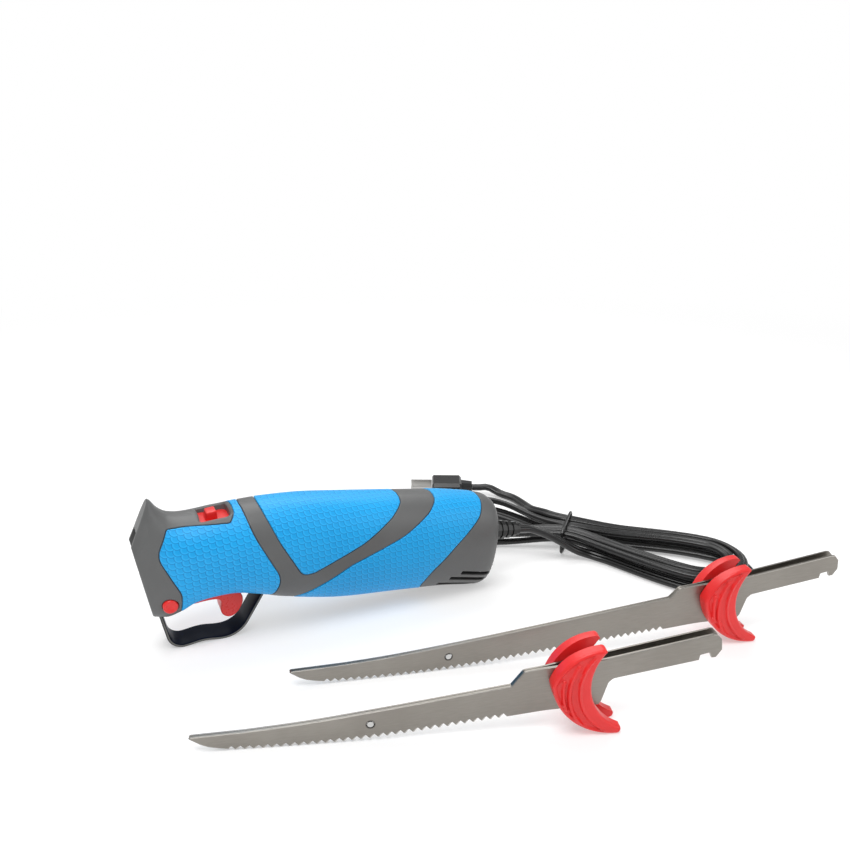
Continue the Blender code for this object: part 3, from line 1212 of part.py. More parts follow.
def hank_route():
    """The middle line of the loops, from the near edge of the tie to the far edge of its upper layer."""
    path = []
    for half, (fold, shift, straight) in enumerate(LOBES):
        way = 1 if half % 2 == 0 else -1
        begin, end = TIE_COLUMNS[half] * SIDE_STEP, TIE_COLUMNS[half + 1] * SIDE_STEP
        first = HANK_START / straight if half == 0 else 0.0
        for k in range(5):
            s = first + (1 - first) * k / 5
            path.append((half, 0.0, way * straight * s, begin + (shift - way * fold - begin) * ease(s)))
        for k in range(7):
            angle = math.pi * k / 6 - math.pi / 2
            path.append((half, k / 6, way * (straight + fold * math.cos(angle)),
                         shift + way * fold * math.sin(angle)))
        for k in range(4, 0, -1):
            s = k / 5
            path.append((half, 1.0, way * straight * s, end + (shift + way * fold - end) * ease(s)))
    s = HANK_END / straight
    path.append((6, 1.0, HANK_END, end + END_FREE + (shift + fold - end) * ease(s)))
    c, s = math.cos(WAIST_HEADING), math.sin(WAIST_HEADING)
    points = []
    for half, share, along, across in path:
        u, v = fanned(along, across)
        layer = 0.0 if half < 3 else 1.0 if half > 3 else ease(share)
        z = CORD_DIAMETER / 2 + 0.0001 + layer * STRAND_STEP + TIE_LIFT * math.exp(-(along / 0.022) ** 2)
        points.append(Vector((WAIST.x + u * c - v * s, WAIST.y + u * s + v * c, z)))
    return points


def tightest_bend(points):
    """Smallest radius of the circle through three neighbours."""
    least = 9.0
    for a, b, c in zip(points, points[1:], points[2:]):
        area = (b - a).cross(c - a).length
        if area > 1e-12:
            least = min(least, (b - a).length * (c - b).length * (c - a).length / (2 * area))
    return least


def least_gap(points, diameter):
    """Smallest clear gap between stretches of a tube that are not neighbours along it."""
    fine = []
    for a, b in zip(points, points[1:]):
        fine += [a.lerp(b, k / 6) for k in range(6)]
    spacing = sum((b - a).length for a, b in zip(fine, fine[1:])) / len(fine)
    skip = int(3 * diameter / spacing) + 1
    least = 1.0
    for i in range(0, len(fine)):
        for j in range(i + skip, len(fine)):
            least = min(least, (fine[i] - fine[j]).length)
    return least - diameter


def make_cord():
    """Strain relief, free cord down to the floor, hank, tie, lead to the plug, and the plug with its pins."""
    radius = CORD_DIAMETER / 2
    at = Matrix.Translation((0, 0, RELIEF_Z))
    profile = [(RELIEF_START + GAP, 0), (RELIEF_START + GAP, RELIEF_RADIUS), (RELIEF_COLLAR[0] + GAP, RELIEF_RADIUS),
               (RELIEF_COLLAR[0] + GAP, RELIEF_COLLAR_RADIUS), (RELIEF_COLLAR[1] - GAP, RELIEF_COLLAR_RADIUS),
               (RELIEF_COLLAR[1] - GAP, RELIEF_RADIUS), (RELIEF_NECK, RELIEF_RADIUS)]
    ribs = 4
    step = (RELIEF_END - 0.0010 - RELIEF_NECK) / ribs
    for k in range(ribs):
        x = RELIEF_NECK + step * k
        r = 0.0064 - 0.0020 * k / ribs
        profile += [(x, r), (x + step * 0.55, r), (x + step * 0.55, r - 0.0012), (x + step, r - 0.0012)]
    profile += [(RELIEF_END - 0.0010, 0.0038), (RELIEF_END, 0.0038), (RELIEF_END, 0)]
    turned("strain_relief", profile, 10, at, BLACK_RUBBER, HANDLE)

    loops = hank_route()
    start_way = (loops[1] - loops[0]).normalized()
    lead_in = loops[0] - start_way * CORD_DIAMETER
    exit_point = handle_point(RELIEF_END + GAP, 0, RELIEF_Z)
    exit_way = (handle_point(1.0, 0, 0) - handle_point(0, 0, 0)).normalized()
    free = [exit_point, exit_point + exit_way * CORD_DIAMETER, WAIST + Vector((-0.0291, -0.0174, 0.0220)),
            WAIST + Vector((-0.0161, -0.0178, 0.0140)), WAIST + Vector((-0.0052, -0.0202, 0.0070)),
            WAIST + Vector((0.0038, -0.0257, 0.0040)), lead_in - start_way * (CORD_DIAMETER + GAP),
            lead_in - start_way * GAP]
    tube("power_cord", sampled(free, 0.0110), radius, 2, BLACK_RUBBER, FRAME)
    end_way = (loops[-1] - loops[-2]).normalized()
    lead_out = loops[-1] + end_way * CORD_DIAMETER
    hank = [lead_in] + loops + [lead_out]
    tube("cord_hank", hank, radius, 1, BLACK_RUBBER, FRAME)
    length = sum((b - a).length for a, b in zip(hank, hank[1:]))
    print("hank length %.3f m, least gap %.2f mm, tightest bend %.1f mm"
          % (length, 1000 * least_gap(hank, CORD_DIAMETER), 1000 * tightest_bend(hank)))

    plug_end = WAIST + Vector((-0.0210, 0.1000, PLUG_SIZE[2] / 2))
    plug_way = Vector((-0.917, 0.399, 0)).normalized()
    tail = [lead_out + end_way * GAP, lead_out + end_way * (CORD_DIAMETER + GAP),
            WAIST + Vector((0.0008, 0.0197, 0.0132)), WAIST + Vector((-0.0008, 0.0283, 0.0120)),
            WAIST + Vector((-0.0022, 0.0414, 0.0090)), WAIST + Vector((0.0003, 0.0556, 0.0058)),
            WAIST + Vector((0.0015, 0.0756, radius + 0.0004)), WAIST + Vector((-0.0028, 0.0870, radius + 0.0002)),
            plug_end - plug_way * CORD_DIAMETER * 2, plug_end - plug_way * CORD_DIAMETER, plug_end - plug_way * GAP]
    tube("plug_lead", sampled(tail, 0.0120), radius, 2, BLACK_RUBBER, FRAME)
    free_length = sum((b - a).length for a, b in zip(free, free[1:]))
    tail_length = sum((b - a).length for a, b in zip(tail, tail[1:]))
    print("cord length about %.3f m" % (length + free_length + tail_length))

    c, s = math.cos(WAIST_HEADING), math.sin(WAIST_HEADING)
    half_wide = 1.5 * SIDE_STEP + END_FREE + radius + TIE_WIRE + 0.0010
    low = TIE_WIRE + 0.0001
    high = 2 * radius + STRAND_STEP + TIE_LIFT + TIE_WIRE + 0.0014
    loop = []
    for k in range(20):
        a = 2 * math.pi * (k + 0.5) / 20
        v = half_wide * math.copysign(abs(math.cos(a)) ** 0.35, math.cos(a))
        z = (low + high) / 2 + (high - low) / 2 * math.copysign(abs(math.sin(a)) ** 0.35, math.sin(a))
        loop.append(Vector((WAIST.x - v * s, WAIST.y + v * c, z)))
    tube("cord_tie", loop, TIE_WIRE, 1, BLACK_RUBBER, FRAME, True)

    plug = empty("plug_frame", plug_end, (0, 0, math.atan2(plug_way.y, plug_way.x)), FRAME)
    length, wide, tall = PLUG_SIZE
    neck = 0.0080
    sides = [(0.0, 0.0040, 0.0040), (neck, 0.0050, 0.0048), (neck, wide / 2 - 0.0015, tall / 2 - 0.0015),
             (neck + 0.0015, wide / 2, tall / 2), (length - 0.0010, wide / 2, tall / 2),
             (length, wide / 2 - 0.0010, tall / 2 - 0.0010)]

    def body(bm):
        rings = []
        for x, y, z in sides:
            cut = 0.35 * min(y, z)
            rings.append([Vector((x, a, b)) for a, b in (
                (y, z - cut), (y - cut, z), (cut - y, z), (-y, z - cut), (-y, cut - z), (cut - y, -z),
                (y - cut, -z), (y, cut - z))])
        add_rings(bm, rings)
    solid("plug_body", body, BLACK_RUBBER, plug)
    for side, name in ((-1, "left"), (1, "right")):
        middle_y = side * PIN_PITCH / 2
        box(f"plug_pin_{name}", (length + GAP, middle_y - 0.00075, -0.0032), (length + 0.0160, middle_y + 0.00075, 0.0032),
            BRASS, plug)


def set_modifiers():
    """Fixes the Booleans and bevels of all pieces while the frames are still level, and drops the guides."""
    bpy.context.view_layer.update()
    graph = bpy.context.evaluated_depsgraph_get()
    fixed = {}
    for made in bpy.data.objects:
        if made.type == "MESH" and made.modifiers and not made.hide_render:
            fixed[made] = bpy.data.meshes.new_from_object(made.evaluated_get(graph))
    for made, mesh in fixed.items():
        bm = bmesh.new()
        bm.from_mesh(mesh)
        bmesh.ops.remove_doubles(bm, verts=bm.verts, dist=WELD)
        bmesh.ops.dissolve_degenerate(bm, dist=WELD, edges=bm.edges)
        bm.verts.index_update()
        folded = {}
        for f in bm.faces:
            folded.setdefault(frozenset(v.index for v in f.verts), []).append(f)
        doubled = [f for pair in folded.values() if len(pair) > 1 for f in pair]
        bmesh.ops.delete(bm, geom=doubled, context="FACES")
        straight = []
        for v in bm.verts:
            if len(v.link_edges) == 2:
                a, b = (e.other_vert(v).co - v.co for e in v.link_edges)
                if a.cross(b).length < WELD * max(a.length, b.length):
                    straight.append(v)
        bmesh.ops.dissolve_verts(bm, verts=straight)
        bm.to_mesh(mesh)
        bm.free()
        made.modifiers.clear()
        mesh.name = made.name
        made.data = mesh
    for made in list(bpy.data.objects):
        if made.hide_render:
            bpy.data.objects.remove(made, do_unlink=True)
    for group in list(bpy.data.collections):
        bpy.data.collections.remove(group)
    HANDLE.location = (0, 0, HANDLE_LIFT)
    HANDLE.rotation_euler = (0, REST_TILT, 0)
    for frame, (place, turn) in SET_FRAMES.items():
        frame.location = place
        frame.rotation_euler = turn


def centre_frame():
    """Puts the origin under the middle of the handle and the blade sets, on the surface they stand on."""
    bpy.context.view_layer.update()
    graph = bpy.context.evaluated_depsgraph_get()
    cord = ("power_cord", "cord_hank", "cord_tie", "plug_lead", "plug_body", "plug_pin", "strain_relief")
    low, high = Vector((9, 9, 9)), Vector((-9, -9, -9))
    for made in bpy.data.objects:
        if made.type != "MESH" or made.hide_render or made.name.startswith(cord):
            continue
        mesh = made.evaluated_get(graph).to_mesh()
        for v in mesh.vertices:
            p = made.matrix_world @ v.co
            low = Vector(map(min, low, p))
            high = Vector(map(max, high, p))
        made.evaluated_get(graph).to_mesh_clear()
    FRAME.location = (-(low.x + high.x) / 2, -(low.y + high.y) / 2, -low.z)
    bpy.context.view_layer.update()
    print("frame shift", [round(v, 6) for v in FRAME.location], "size", [round(v, 4) for v in high - low])


make_shells_and_grips()
make_lock_slider()
make_trigger()
make_trigger_parts()
make_release_buttons()
make_motor()
make_drive_gear()
make_carriers()
make_screws()
make_blade_set("short", SHORT_TEETH, (0.0314, -0.0997), math.radians(-16.8))
make_blade_set("long", LONG_TEETH, (0.0855, -0.0685), math.radians(-11.5))
make_cord()
set_modifiers()
centre_frame()
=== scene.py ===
# Electric fillet knife with two blade pairs and its cord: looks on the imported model
import math

import bmesh
import bpy
import numpy as np
from mathutils import Matrix, Vector
from mathutils.geometry import delaunay_2d_cdt


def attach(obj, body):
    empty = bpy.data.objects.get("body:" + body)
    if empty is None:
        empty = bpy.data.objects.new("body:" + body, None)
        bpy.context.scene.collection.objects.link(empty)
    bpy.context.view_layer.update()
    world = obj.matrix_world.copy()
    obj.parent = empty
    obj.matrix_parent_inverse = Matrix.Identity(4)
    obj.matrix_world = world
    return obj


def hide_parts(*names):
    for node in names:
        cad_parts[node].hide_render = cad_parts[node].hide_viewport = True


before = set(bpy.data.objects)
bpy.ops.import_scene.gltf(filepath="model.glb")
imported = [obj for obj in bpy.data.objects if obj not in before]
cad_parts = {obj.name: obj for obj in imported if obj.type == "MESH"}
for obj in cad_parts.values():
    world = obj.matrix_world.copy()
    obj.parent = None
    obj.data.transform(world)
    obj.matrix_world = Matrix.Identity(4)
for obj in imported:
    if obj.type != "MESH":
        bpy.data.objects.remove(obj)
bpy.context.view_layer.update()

# Camera
# The photograph is taken from the blades' side, a little above, with a normal lens. Its place comes from
# the teeth and corners of both blade pairs, which stand on one floor.
focal_px, photo_px, sensor_mm = 880.7, 850, 36
eye = Vector((-0.203966, -0.362788, 0.26682))
pitch, heading, roll = math.radians(18.8), math.radians(23.5), math.radians(0.37)
look = Vector((math.sin(heading) * math.cos(pitch), math.cos(heading) * math.cos(pitch), -math.sin(pitch)))
right = Vector((math.cos(heading), -math.sin(heading), 0))
up = right.cross(look)
camera_data = bpy.data.cameras.new("camera")
camera_data.sensor_width = sensor_mm
camera_data.lens = focal_px / photo_px * sensor_mm
camera = bpy.data.objects.new("camera", camera_data)
bpy.context.scene.collection.objects.link(camera)
turned_right = right * math.cos(roll) + up * math.sin(roll)
turned_up = up * math.cos(roll) - right * math.sin(roll)
view = Matrix((turned_right, turned_up, -look)).transposed().to_4x4()
view.translation = eye
camera.matrix_world = view
bpy.context.scene.camera = camera

# Mains cord
# Black two-core PVC lead, one length from the handle to the plug, folded into a hank and tied.
# Two round cores lie side by side in one jacket, so a shallow groove runs down both flat sides.


class Value:
    """A socket of a material's nodes: sums on it add Math nodes, and make() adds any other node."""

    def __init__(self, tree, socket=None):
        self.tree = tree
        self.socket = socket

    def make(self, kind, settings=(), output=0, **inputs):
        node = self.tree.nodes.new(kind)
        for key, value in dict(settings).items():
            setattr(node, key, value)
        for key, value in inputs.items():
            where = int(key[1:]) if key[0] == "i" and key[1:].isdigit() else key.replace("_", " ")
            if isinstance(value, Value):
                self.tree.links.new(value.socket, node.inputs[where])
            else:
                node.inputs[where].default_value = value
        return Value(self.tree, node.outputs[output])

    def math(self, operation, *values):
        values = [self, *values]
        return self.make("ShaderNodeMath", {"operation": operation}, **{f"i{k}": v for k, v in enumerate(values)})

    def __add__(self, other):
        return self.math("ADD", other)

    def __sub__(self, other):
        return self.math("SUBTRACT", other)

    def __mul__(self, other):
        return self.math("MULTIPLY", other)

    def __truediv__(self, other):
        return self.math("DIVIDE", other)

    def __rsub__(self, other):
        return (self * -1.0) + other

    __radd__ = __add__
    __rmul__ = __mul__

    def step(self, low, high):
        """0 below low and 1 above high, with a soft change between them."""
        return self.make("ShaderNodeMapRange", {"interpolation_type": "SMOOTHSTEP", "clamp": True},
                         Value=self, From_Min=low, From_Max=high)

    def mix(self, first, second):
        """The first colour where this is 0 and the second where it is 1."""
        return self.make("ShaderNodeMix", {"data_type": "RGBA"}, 2, i0=self, i6=first, i7=second)

    def split(self):
        node = self.tree.nodes.new("ShaderNodeSeparateXYZ")
        self.tree.links.new(self.socket, node.inputs[0])
        return [Value(self.tree, out) for out in node.outputs]


def material(name, paint):
    """A material whose Principled inputs come from paint(start), a dictionary of numbers, colours and values."""
    made = bpy.data.materials.new(name)
    made.use_nodes = True
    tree = made.node_tree
    shader = tree.nodes["Principled BSDF"]
    for key, value in paint(Value(tree)).items():
        if isinstance(value, Value):
            tree.links.new(value.socket, shader.inputs[key])
        else:
            shader.inputs[key].default_value = value
    return made


def noise(start, scale, detail=3.0, coords=None):
    coords = coords or start.make("ShaderNodeTexCoord", output="Object")
    return start.make("ShaderNodeTexNoise", Vector=coords, Scale=scale, Detail=detail)


def grained(start, colour, roughness, scale, depth, shade=0.06, metal=0.0):
    """Moulded surface: fine grain in the normal, and slow changes of shade and gloss."""
    fine = noise(start, scale, 2.0)
    slow = noise(start, scale * 0.04, 3.0)
    dark = tuple(c * (1 - shade) for c in colour) + (1.0,)
    light = tuple(c * (1 + shade) for c in colour) + (1.0,)
    return {
        "Base Color": slow.step(0.35, 0.65).mix(dark, light),
        "Roughness": (slow - 0.5) * 0.10 + (fine - 0.5) * 0.06 + roughness,
        "Metallic": metal,
        "Normal": start.make("ShaderNodeBump", Height=fine, Strength=0.35, Distance=depth),
    }


def plain(name, *grain, **more):
    """A material of one colour with the grain that grained() gives."""
    return material(name, lambda start: grained(start, *grain, **more))


def shown(name, body, mesh, finish, place=None, angle=50, replaced=None):
    """A finished piece: placed, linked, shaded, riding on its body, and standing for its CAD nodes.

    A placed mesh keeps its points' own coordinates as an attribute, for materials that follow the piece.
    The CAD node has the piece's name unless others are given.
    """
    made = bpy.data.objects.new(name, mesh)
    bpy.context.scene.collection.objects.link(made)
    if place is not None:
        own = mesh.attributes.new("own", "FLOAT_VECTOR", "POINT")
        own.data.foreach_set("vector", [c for v in mesh.vertices for c in v.co])
        mesh.transform(place)
    mesh.materials.append(finish)
    mesh.shade_smooth()
    mesh.set_sharp_from_angle(angle=math.radians(angle))
    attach(made, body)
    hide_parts(*(replaced or (name,)))
    return made


def bridged(bm, one, two, closed=True):
    """Faces between two rows of vertices, with three corners where the rows share one."""
    made = []
    for k in range(len(one) if closed else len(one) - 1):
        after = (k + 1) % len(one)
        corners = list(dict.fromkeys((one[k], one[after], two[after], two[k])))
        if len(corners) > 2:
            made.append(bm.faces.new(corners))
    return made


def finished(bm, name, side=0):
    """The mesh of a bmesh, its faces turned outwards, or to one side where it is an open skin."""
    bmesh.ops.recalc_face_normals(bm, faces=bm.faces)
    if sum(f.normal.y * side for f in bm.faces) < 0:
        bmesh.ops.reverse_faces(bm, faces=bm.faces)
    mesh = bpy.data.meshes.new(name)
    bm.to_mesh(mesh)
    bm.free()
    return mesh


def swept(name, path, profile, tilt=None):
    """A mesh that carries a profile of (side, up) points along a path, with its side way kept level."""
    bm = bmesh.new()
    rings = []
    for i, p in enumerate(path):
        along = (path[min(i + 1, len(path) - 1)] - path[max(i - 1, 0)]).normalized()
        level = Vector((0, 0, 1)).cross(along).normalized()
        above = along.cross(level)
        turn = tilt[i] if tilt else 0.0
        c, s = math.cos(turn), math.sin(turn)
        rings.append([bm.verts.new(p + level * (u * c - v * s) + above * (u * s + v * c)) for u, v in profile])
    for one, two in zip(rings, rings[1:]):
        bridged(bm, one, two)
    bm.faces.new(list(reversed(rings[0])))
    bm.faces.new(rings[-1])
    return finished(bm, name)


shift = Vector((-0.180486, 0.072232, 0.0))
handle_at = Matrix.Translation(shift + Vector((0, 0, 0.057370))) @ Matrix.Rotation(math.radians(8.0), 4, "Y")
cord_width = 0.0064
relief_end, relief_z, gap = 0.2310, 0.0035, 0.0003
side_step, layer_step, fold_radius = 0.0077, 0.0070, 0.0194
waist, waist_heading = Vector((0.2770, 0.0180, 0.0)), math.radians(-42.0)
tie_columns = (-1.5, 1.5, -0.5, 0.5, -0.5, 0.5, -1.5, 1.5)
right_run, left_run, outer_fold = 0.0900, 0.0620, fold_radius + side_step
lead_in_at, lead_out_at, lead_out_aside = 0.0460, 0.0080, 0.0010
tie_lift, tie_reach = 0.0028, 0.0220
lobes = (
    (outer_fold, 0.0, right_run), (outer_fold, 0.0, left_run), (fold_radius, 0.0, right_run),
    (fold_radius, 0.0, left_run), (fold_radius, 0.0030, right_run - 0.0060), (outer_fold, 0.0, left_run),
    (outer_fold, 0.0030, right_run - 0.0060),
)


def ease(s):
    """A share from 0 to 1 that starts and stops softly."""
    s = min(1.0, max(0.0, s))
    return s * s * (3 - 2 * s)


def fanned(along, across):
    """The hank opens like a fan away from its tie."""
    fan, start = (-0.2000, 0.0300) if along > 0 else (0.1500, 0.0300)
    root = math.hypot(along, start)
    lean = fan * along / root
    norm = math.hypot(1, lean)
    return along - across * lean / norm, fan * (root - start) + across / norm


def hank_route(run_steps, fold_steps):
    """Points along the tied hank: half after half, each a straight run, a fold and a run back to the tie."""
    path = []
    for half, (fold, side, straight) in enumerate(lobes):
        way = 1 if half % 2 == 0 else -1
        begin, end = tie_columns[half] * side_step, tie_columns[half + 1] * side_step
        first = lead_in_at / straight if half == 0 else 0.0
        for k in range(run_steps):
            s = first + (1 - first) * k / run_steps
            path.append((half, 0.0, way * straight * s, begin + (side - way * fold - begin) * ease(s)))
        for k in range(fold_steps + 1):
            angle = math.pi * k / fold_steps - math.pi / 2
            path.append((half, k / fold_steps, way * (straight + fold * math.cos(angle)),
                         side + way * fold * math.sin(angle)))
        ending = half == len(lobes) - 1
        last = lead_out_at / straight if ending else 0.0
        free = lead_out_aside if ending else 0.0
        for k in range(run_steps - 1, -1 if ending else 0, -1):
            s = last + (1 - last) * k / run_steps
            near = free * (1 - k / run_steps)
            path.append((half, 1.0, way * straight * s, end + near + (side + way * fold - end) * ease(s)))
    c, s = math.cos(waist_heading), math.sin(waist_heading)
    points = []
    for half, share, along, across in path:
        u, v = fanned(along, across)
        layer = 0.0 if half < 3 else 1.0 if half > 3 else ease(share)
        z = cord_width / 2 + 0.0001 + layer * layer_step + tie_lift * math.exp(-(along / tie_reach) ** 2)
        points.append(Vector((waist.x + u * c - v * s, waist.y + u * s + v * c, z)))
    return points


def sampled(points, spacing):
    """Evenly spaced points on a smooth line through the inner points."""
    fine = []
    for a, b, c, d in zip(points, points[1:], points[2:], points[3:]):
        for k in range(16):
            s = k / 16
            fine.append(0.5 * (2 * b + (c - a) * s + (2 * a - 5 * b + 4 * c - d) * s * s
                               + (3 * b - a - 3 * c + d) * s ** 3))
    fine.append(points[-2])
    lengths = [0.0]
    for p, q in zip(fine, fine[1:]):
        lengths.append(lengths[-1] + (q - p).length)
    count = max(2, round(lengths[-1] / spacing))
    out, k = [], 0
    for i in range(count + 1):
        want = lengths[-1] * i / count
        while k < len(fine) - 2 and lengths[k + 1] < want:
            k += 1
        share = (want - lengths[k]) / max(lengths[k + 1] - lengths[k], 1e-9)
        out.append(fine[k].lerp(fine[k + 1], min(share, 1.0)))
    return [points[0]] + out + [points[-1]]


def cord_path():
    """The whole lead: from the sleeve to the hank, round the hank, and on to the plug."""
    loops = hank_route(5, 6)
    start_way = (loops[1] - loops[0]).normalized()
    lead_in = loops[0] - start_way * cord_width
    to_standing = Matrix.Translation(-shift) @ handle_at
    exit_point = to_standing @ Vector((relief_end + gap, 0, relief_z))
    exit_way = (to_standing.to_3x3() @ Vector((1, 0, 0))).normalized()
    free = [exit_point, exit_point + exit_way * cord_width, Vector((0.2479, 0.0006, 0.0220)),
            Vector((0.2609, 0.0002, 0.0140)), Vector((0.2718, -0.0022, 0.0070)),
            Vector((0.2808, -0.0077, 0.0040)), lead_in - start_way * (cord_width + gap), lead_in - start_way * gap]
    end_way = (loops[-1] - loops[-2]).normalized()
    lead_out = loops[-1] + end_way * cord_width
    plug_end = Vector((0.2560, 0.1180, 0.0065))
    plug_way = Vector((-0.917, 0.399, 0)).normalized()
    tail = [lead_out + end_way * gap, lead_out + end_way * (cord_width + gap), Vector((0.2778, 0.0377, 0.0132)),
            Vector((0.2762, 0.0463, 0.0120)), Vector((0.2748, 0.0594, 0.0090)), Vector((0.2773, 0.0736, 0.0058)),
            Vector((0.2785, 0.0936, 0.0036)), Vector((0.2742, 0.1050, 0.0034)),
            plug_end - plug_way * cord_width * 2, plug_end - plug_way * cord_width, plug_end - plug_way * gap]
    fine = hank_route(12, 18)
    path = sampled(free, 0.0040)[:-1] + fine + sampled(tail, 0.0040)
    return [p + shift for p in path], plug_end + shift, plug_way


path, plug_end, plug_way = cord_path()
core_radius, half_apart, round_steps = 0.0020, 0.0012, 28
tilt_swing, tilt_pitch, tilt_free = 0.55, 21.0, 0.05
profile = []
for k in range(round_steps):
    a = 2 * math.pi * k / round_steps
    c, s = math.cos(a), math.sin(a)
    reach = half_apart * abs(c) + math.sqrt(max(0.0, core_radius ** 2 - (half_apart * s) ** 2))
    profile.append((reach * c, reach * s))
lengths = [0.0]
for p, q in zip(path, path[1:]):
    lengths.append(lengths[-1] + (q - p).length)
tilt = [tilt_swing * math.sin(d * tilt_pitch) * min(1.0, d / tilt_free, (lengths[-1] - d) / tilt_free)
        for d in lengths]
cord_black = plain("cord_jacket", (0.0040, 0.0040, 0.0043), 0.29, 900.0, 0.00002, 0.2)
cord = shown("mains_cord", "housing", swept("mains_cord", path, profile, tilt), cord_black,
             angle=60, replaced=("power_cord", "cord_hank", "plug_lead"))


def dressed(finish, slot, *names):
    """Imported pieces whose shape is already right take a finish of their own."""
    for name in names:
        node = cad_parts[name]
        node.data.materials.clear()
        node.data.materials.append(finish)


dressed(cord_black, "cord_black", "cord_tie", "strain_relief", "plug_body")

# Inner works
# Motor with worm and fan, nylon wheel with crank pins, steel carriers, springs, pins and screws. Little of
# them shows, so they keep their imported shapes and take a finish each.
bright = plain("bright_steel", (0.58, 0.58, 0.57), 0.24, 700.0, 0.00005, metal=1.0)
steel = plain("motor_steel", (0.40, 0.40, 0.41), 0.36, 500.0, 0.0001, metal=1.0)
brass = plain("brass", (0.70, 0.48, 0.16), 0.28, 600.0, 0.00005, metal=1.0)
nylon = plain("nylon", (0.70, 0.68, 0.62), 0.45, 500.0, 0.0001)
switch_black = plain("switch_body", (0.03, 0.03, 0.034), 0.45, 500.0, 0.0001)
plated = plain("plated_pins", (0.46, 0.45, 0.43), 0.30, 600.0, 0.00005, metal=1.0)
dressed(bright, "bright_steel", "nose_screw", "band_screw", "vee_screw", "cap_screw", "trigger_pin", "gear_axle",
        "trigger_spring", "release_spring_left", "release_spring_right", "short_blade_stud", "long_blade_stud")
dressed(steel, "motor_steel", "motor_can", "armature", "blade_carrier_left", "blade_carrier_right")
dressed(brass, "brass", "front_bearing")
dressed(plated, "brass", "plug_pin_left", "plug_pin_right")
dressed(nylon, "nylon", "motor_end_bell", "drive_gear", "cooling_fan")
dressed(switch_black, "switch_body", "power_switch")

# Handle shells
# Two injection-moulded halves of warm grey ABS, screwed together from the right. The mould gives them
# a round-edged nose with the blade slot, a seam along the middle, and a groove round each soft panel.
handle_length = 0.2100
heel_x = handle_length - 0.0090
top_line = (
    (-0.0060, 0.0270), (0.0069, 0.0294), (0.0125, 0.0242), (0.0180, 0.0211), (0.0235, 0.0204),
    (0.0430, 0.0238), (0.0660, 0.0278), (0.0970, 0.0301), (heel_x - 0.0310, 0.0299), (heel_x - 0.0090, 0.0286),
    (heel_x + 0.0010, 0.0272), (heel_x + 0.0060, 0.0246), (handle_length, 0.0195),
)
bottom_line = (
    (-0.0060, -0.0350), (0.0190, -0.0350), (0.0250, -0.0326), (0.0330, -0.0272), (0.0430, -0.0243),
    (0.0540, -0.0230), (0.0660, -0.0245), (0.0800, -0.0275), (0.1150, -0.0308), (heel_x - 0.0510, -0.0292),
    (heel_x - 0.0260, -0.0284), (heel_x, -0.0296), (heel_x + 0.0060, -0.0280), (handle_length, -0.0235),
)
width_line = (
    (-0.0060, 0.0085), (0.0, 0.0095), (0.0100, 0.0136), (0.0200, 0.0181), (0.0320, 0.0206),
    (0.0550, 0.0221), (0.0900, 0.0230), (heel_x - 0.0360, 0.0228), (heel_x - 0.0090, 0.0208),
    (heel_x + 0.0010, 0.0197), (heel_x + 0.0060, 0.0175), (handle_length, 0.0122),
)
top_squareness = ((0.0, 1.7), (0.0200, 2.2), (0.0600, 2.3))
bottom_squareness = ((0.0150, 3.4), (0.0500, 2.6), (0.1000, 2.3))


def along_line(keys, x):
    """A monotone cubic through (x, value) keys."""
    if x <= keys[0][0]:
        return keys[0][1]
    if x >= keys[-1][0]:
        return keys[-1][1]
    slopes = [(b[1] - a[1]) / (b[0] - a[0]) for a, b in zip(keys, keys[1:])]
    inner = [2 * p * q / (p + q) if p * q > 0 else 0.0 for p, q in zip(slopes, slopes[1:])]
    tangents = [slopes[0]] + inner + [slopes[-1]]
    for i, (a, b) in enumerate(zip(keys, keys[1:])):
        if x <= b[0]:
            h = b[0] - a[0]
            s = (x - a[0]) / h
            return (a[1] * (1 + 2 * s) * (1 - s) ** 2 + b[1] * s * s * (3 - 2 * s)
                    + h * tangents[i] * s * (1 - s) ** 2 + h * tangents[i + 1] * s * s * (s - 1))


class Skin:
    """The handle's outer surface unrolled: x along the handle, w the way round from the top seam."""

    def __init__(self, stations=520, steps=260):
        self.x = np.linspace(-0.006, handle_length, stations)
        angle = np.radians(np.linspace(90, -90, steps))
        c, s = np.abs(np.cos(angle)), np.sin(angle)
        rows = []
        for x in self.x:
            top, bottom, half = (along_line(k, x) for k in (top_line, bottom_line, width_line))
            power = np.where(s > 0, 2 / along_line(top_squareness, x), 2 / along_line(bottom_squareness, x))
            y = half * c ** power
            z = np.where(s > 0, top, -bottom) * np.sign(s) * np.abs(s) ** power
            w = np.concatenate([[0], np.cumsum(np.hypot(np.diff(y), np.diff(z)))])
            rows.append((y, z, w))
        self.y, self.z, self.w = (np.array([r[k] for r in rows]) for k in range(3))

    def row(self, x):
        place = np.clip((x - self.x[0]) / (self.x[1] - self.x[0]), 0, len(self.x) - 1.001)
        return int(place), place - int(place)

    def end(self, x):
        """The way round at the bottom seam."""
        i, f = self.row(x)
        return self.w[i, -1] * (1 - f) + self.w[i + 1, -1] * f

    def at(self, x, w):
        """A point of the surface in the handle's frame, on the positive side."""
        i, f = self.row(x)
        one = [np.interp(w, self.w[k], t[k]) for k in (i, i + 1) for t in (self.y, self.z)]
        return Vector((x, one[0] * (1 - f) + one[2] * f, one[1] * (1 - f) + one[3] * f))

    def unroll(self, x, z):
        """The way round of a point of the side view, carried on past the seams where it lies outside."""
        i, f = self.row(x)
        ways = []
        for k in (i, i + 1):
            high, low = self.z[k, 0], self.z[k, -1]
            ways.append(high - z if z > high else self.w[k, -1] + low - z if z < low
                        else np.interp(-z, -self.z[k], self.w[k]))
        return ways[0] * (1 - f) + ways[1] * f

    def across(self, x, y):
        """The way round, on the underside, of the line at a distance y from the middle plane."""
        i = self.row(x)[0]
        k = self.y.shape[1] // 2
        return self.w[i, k:][::-1][np.searchsorted(self.y[i, k:][::-1], y)]


skin = Skin()


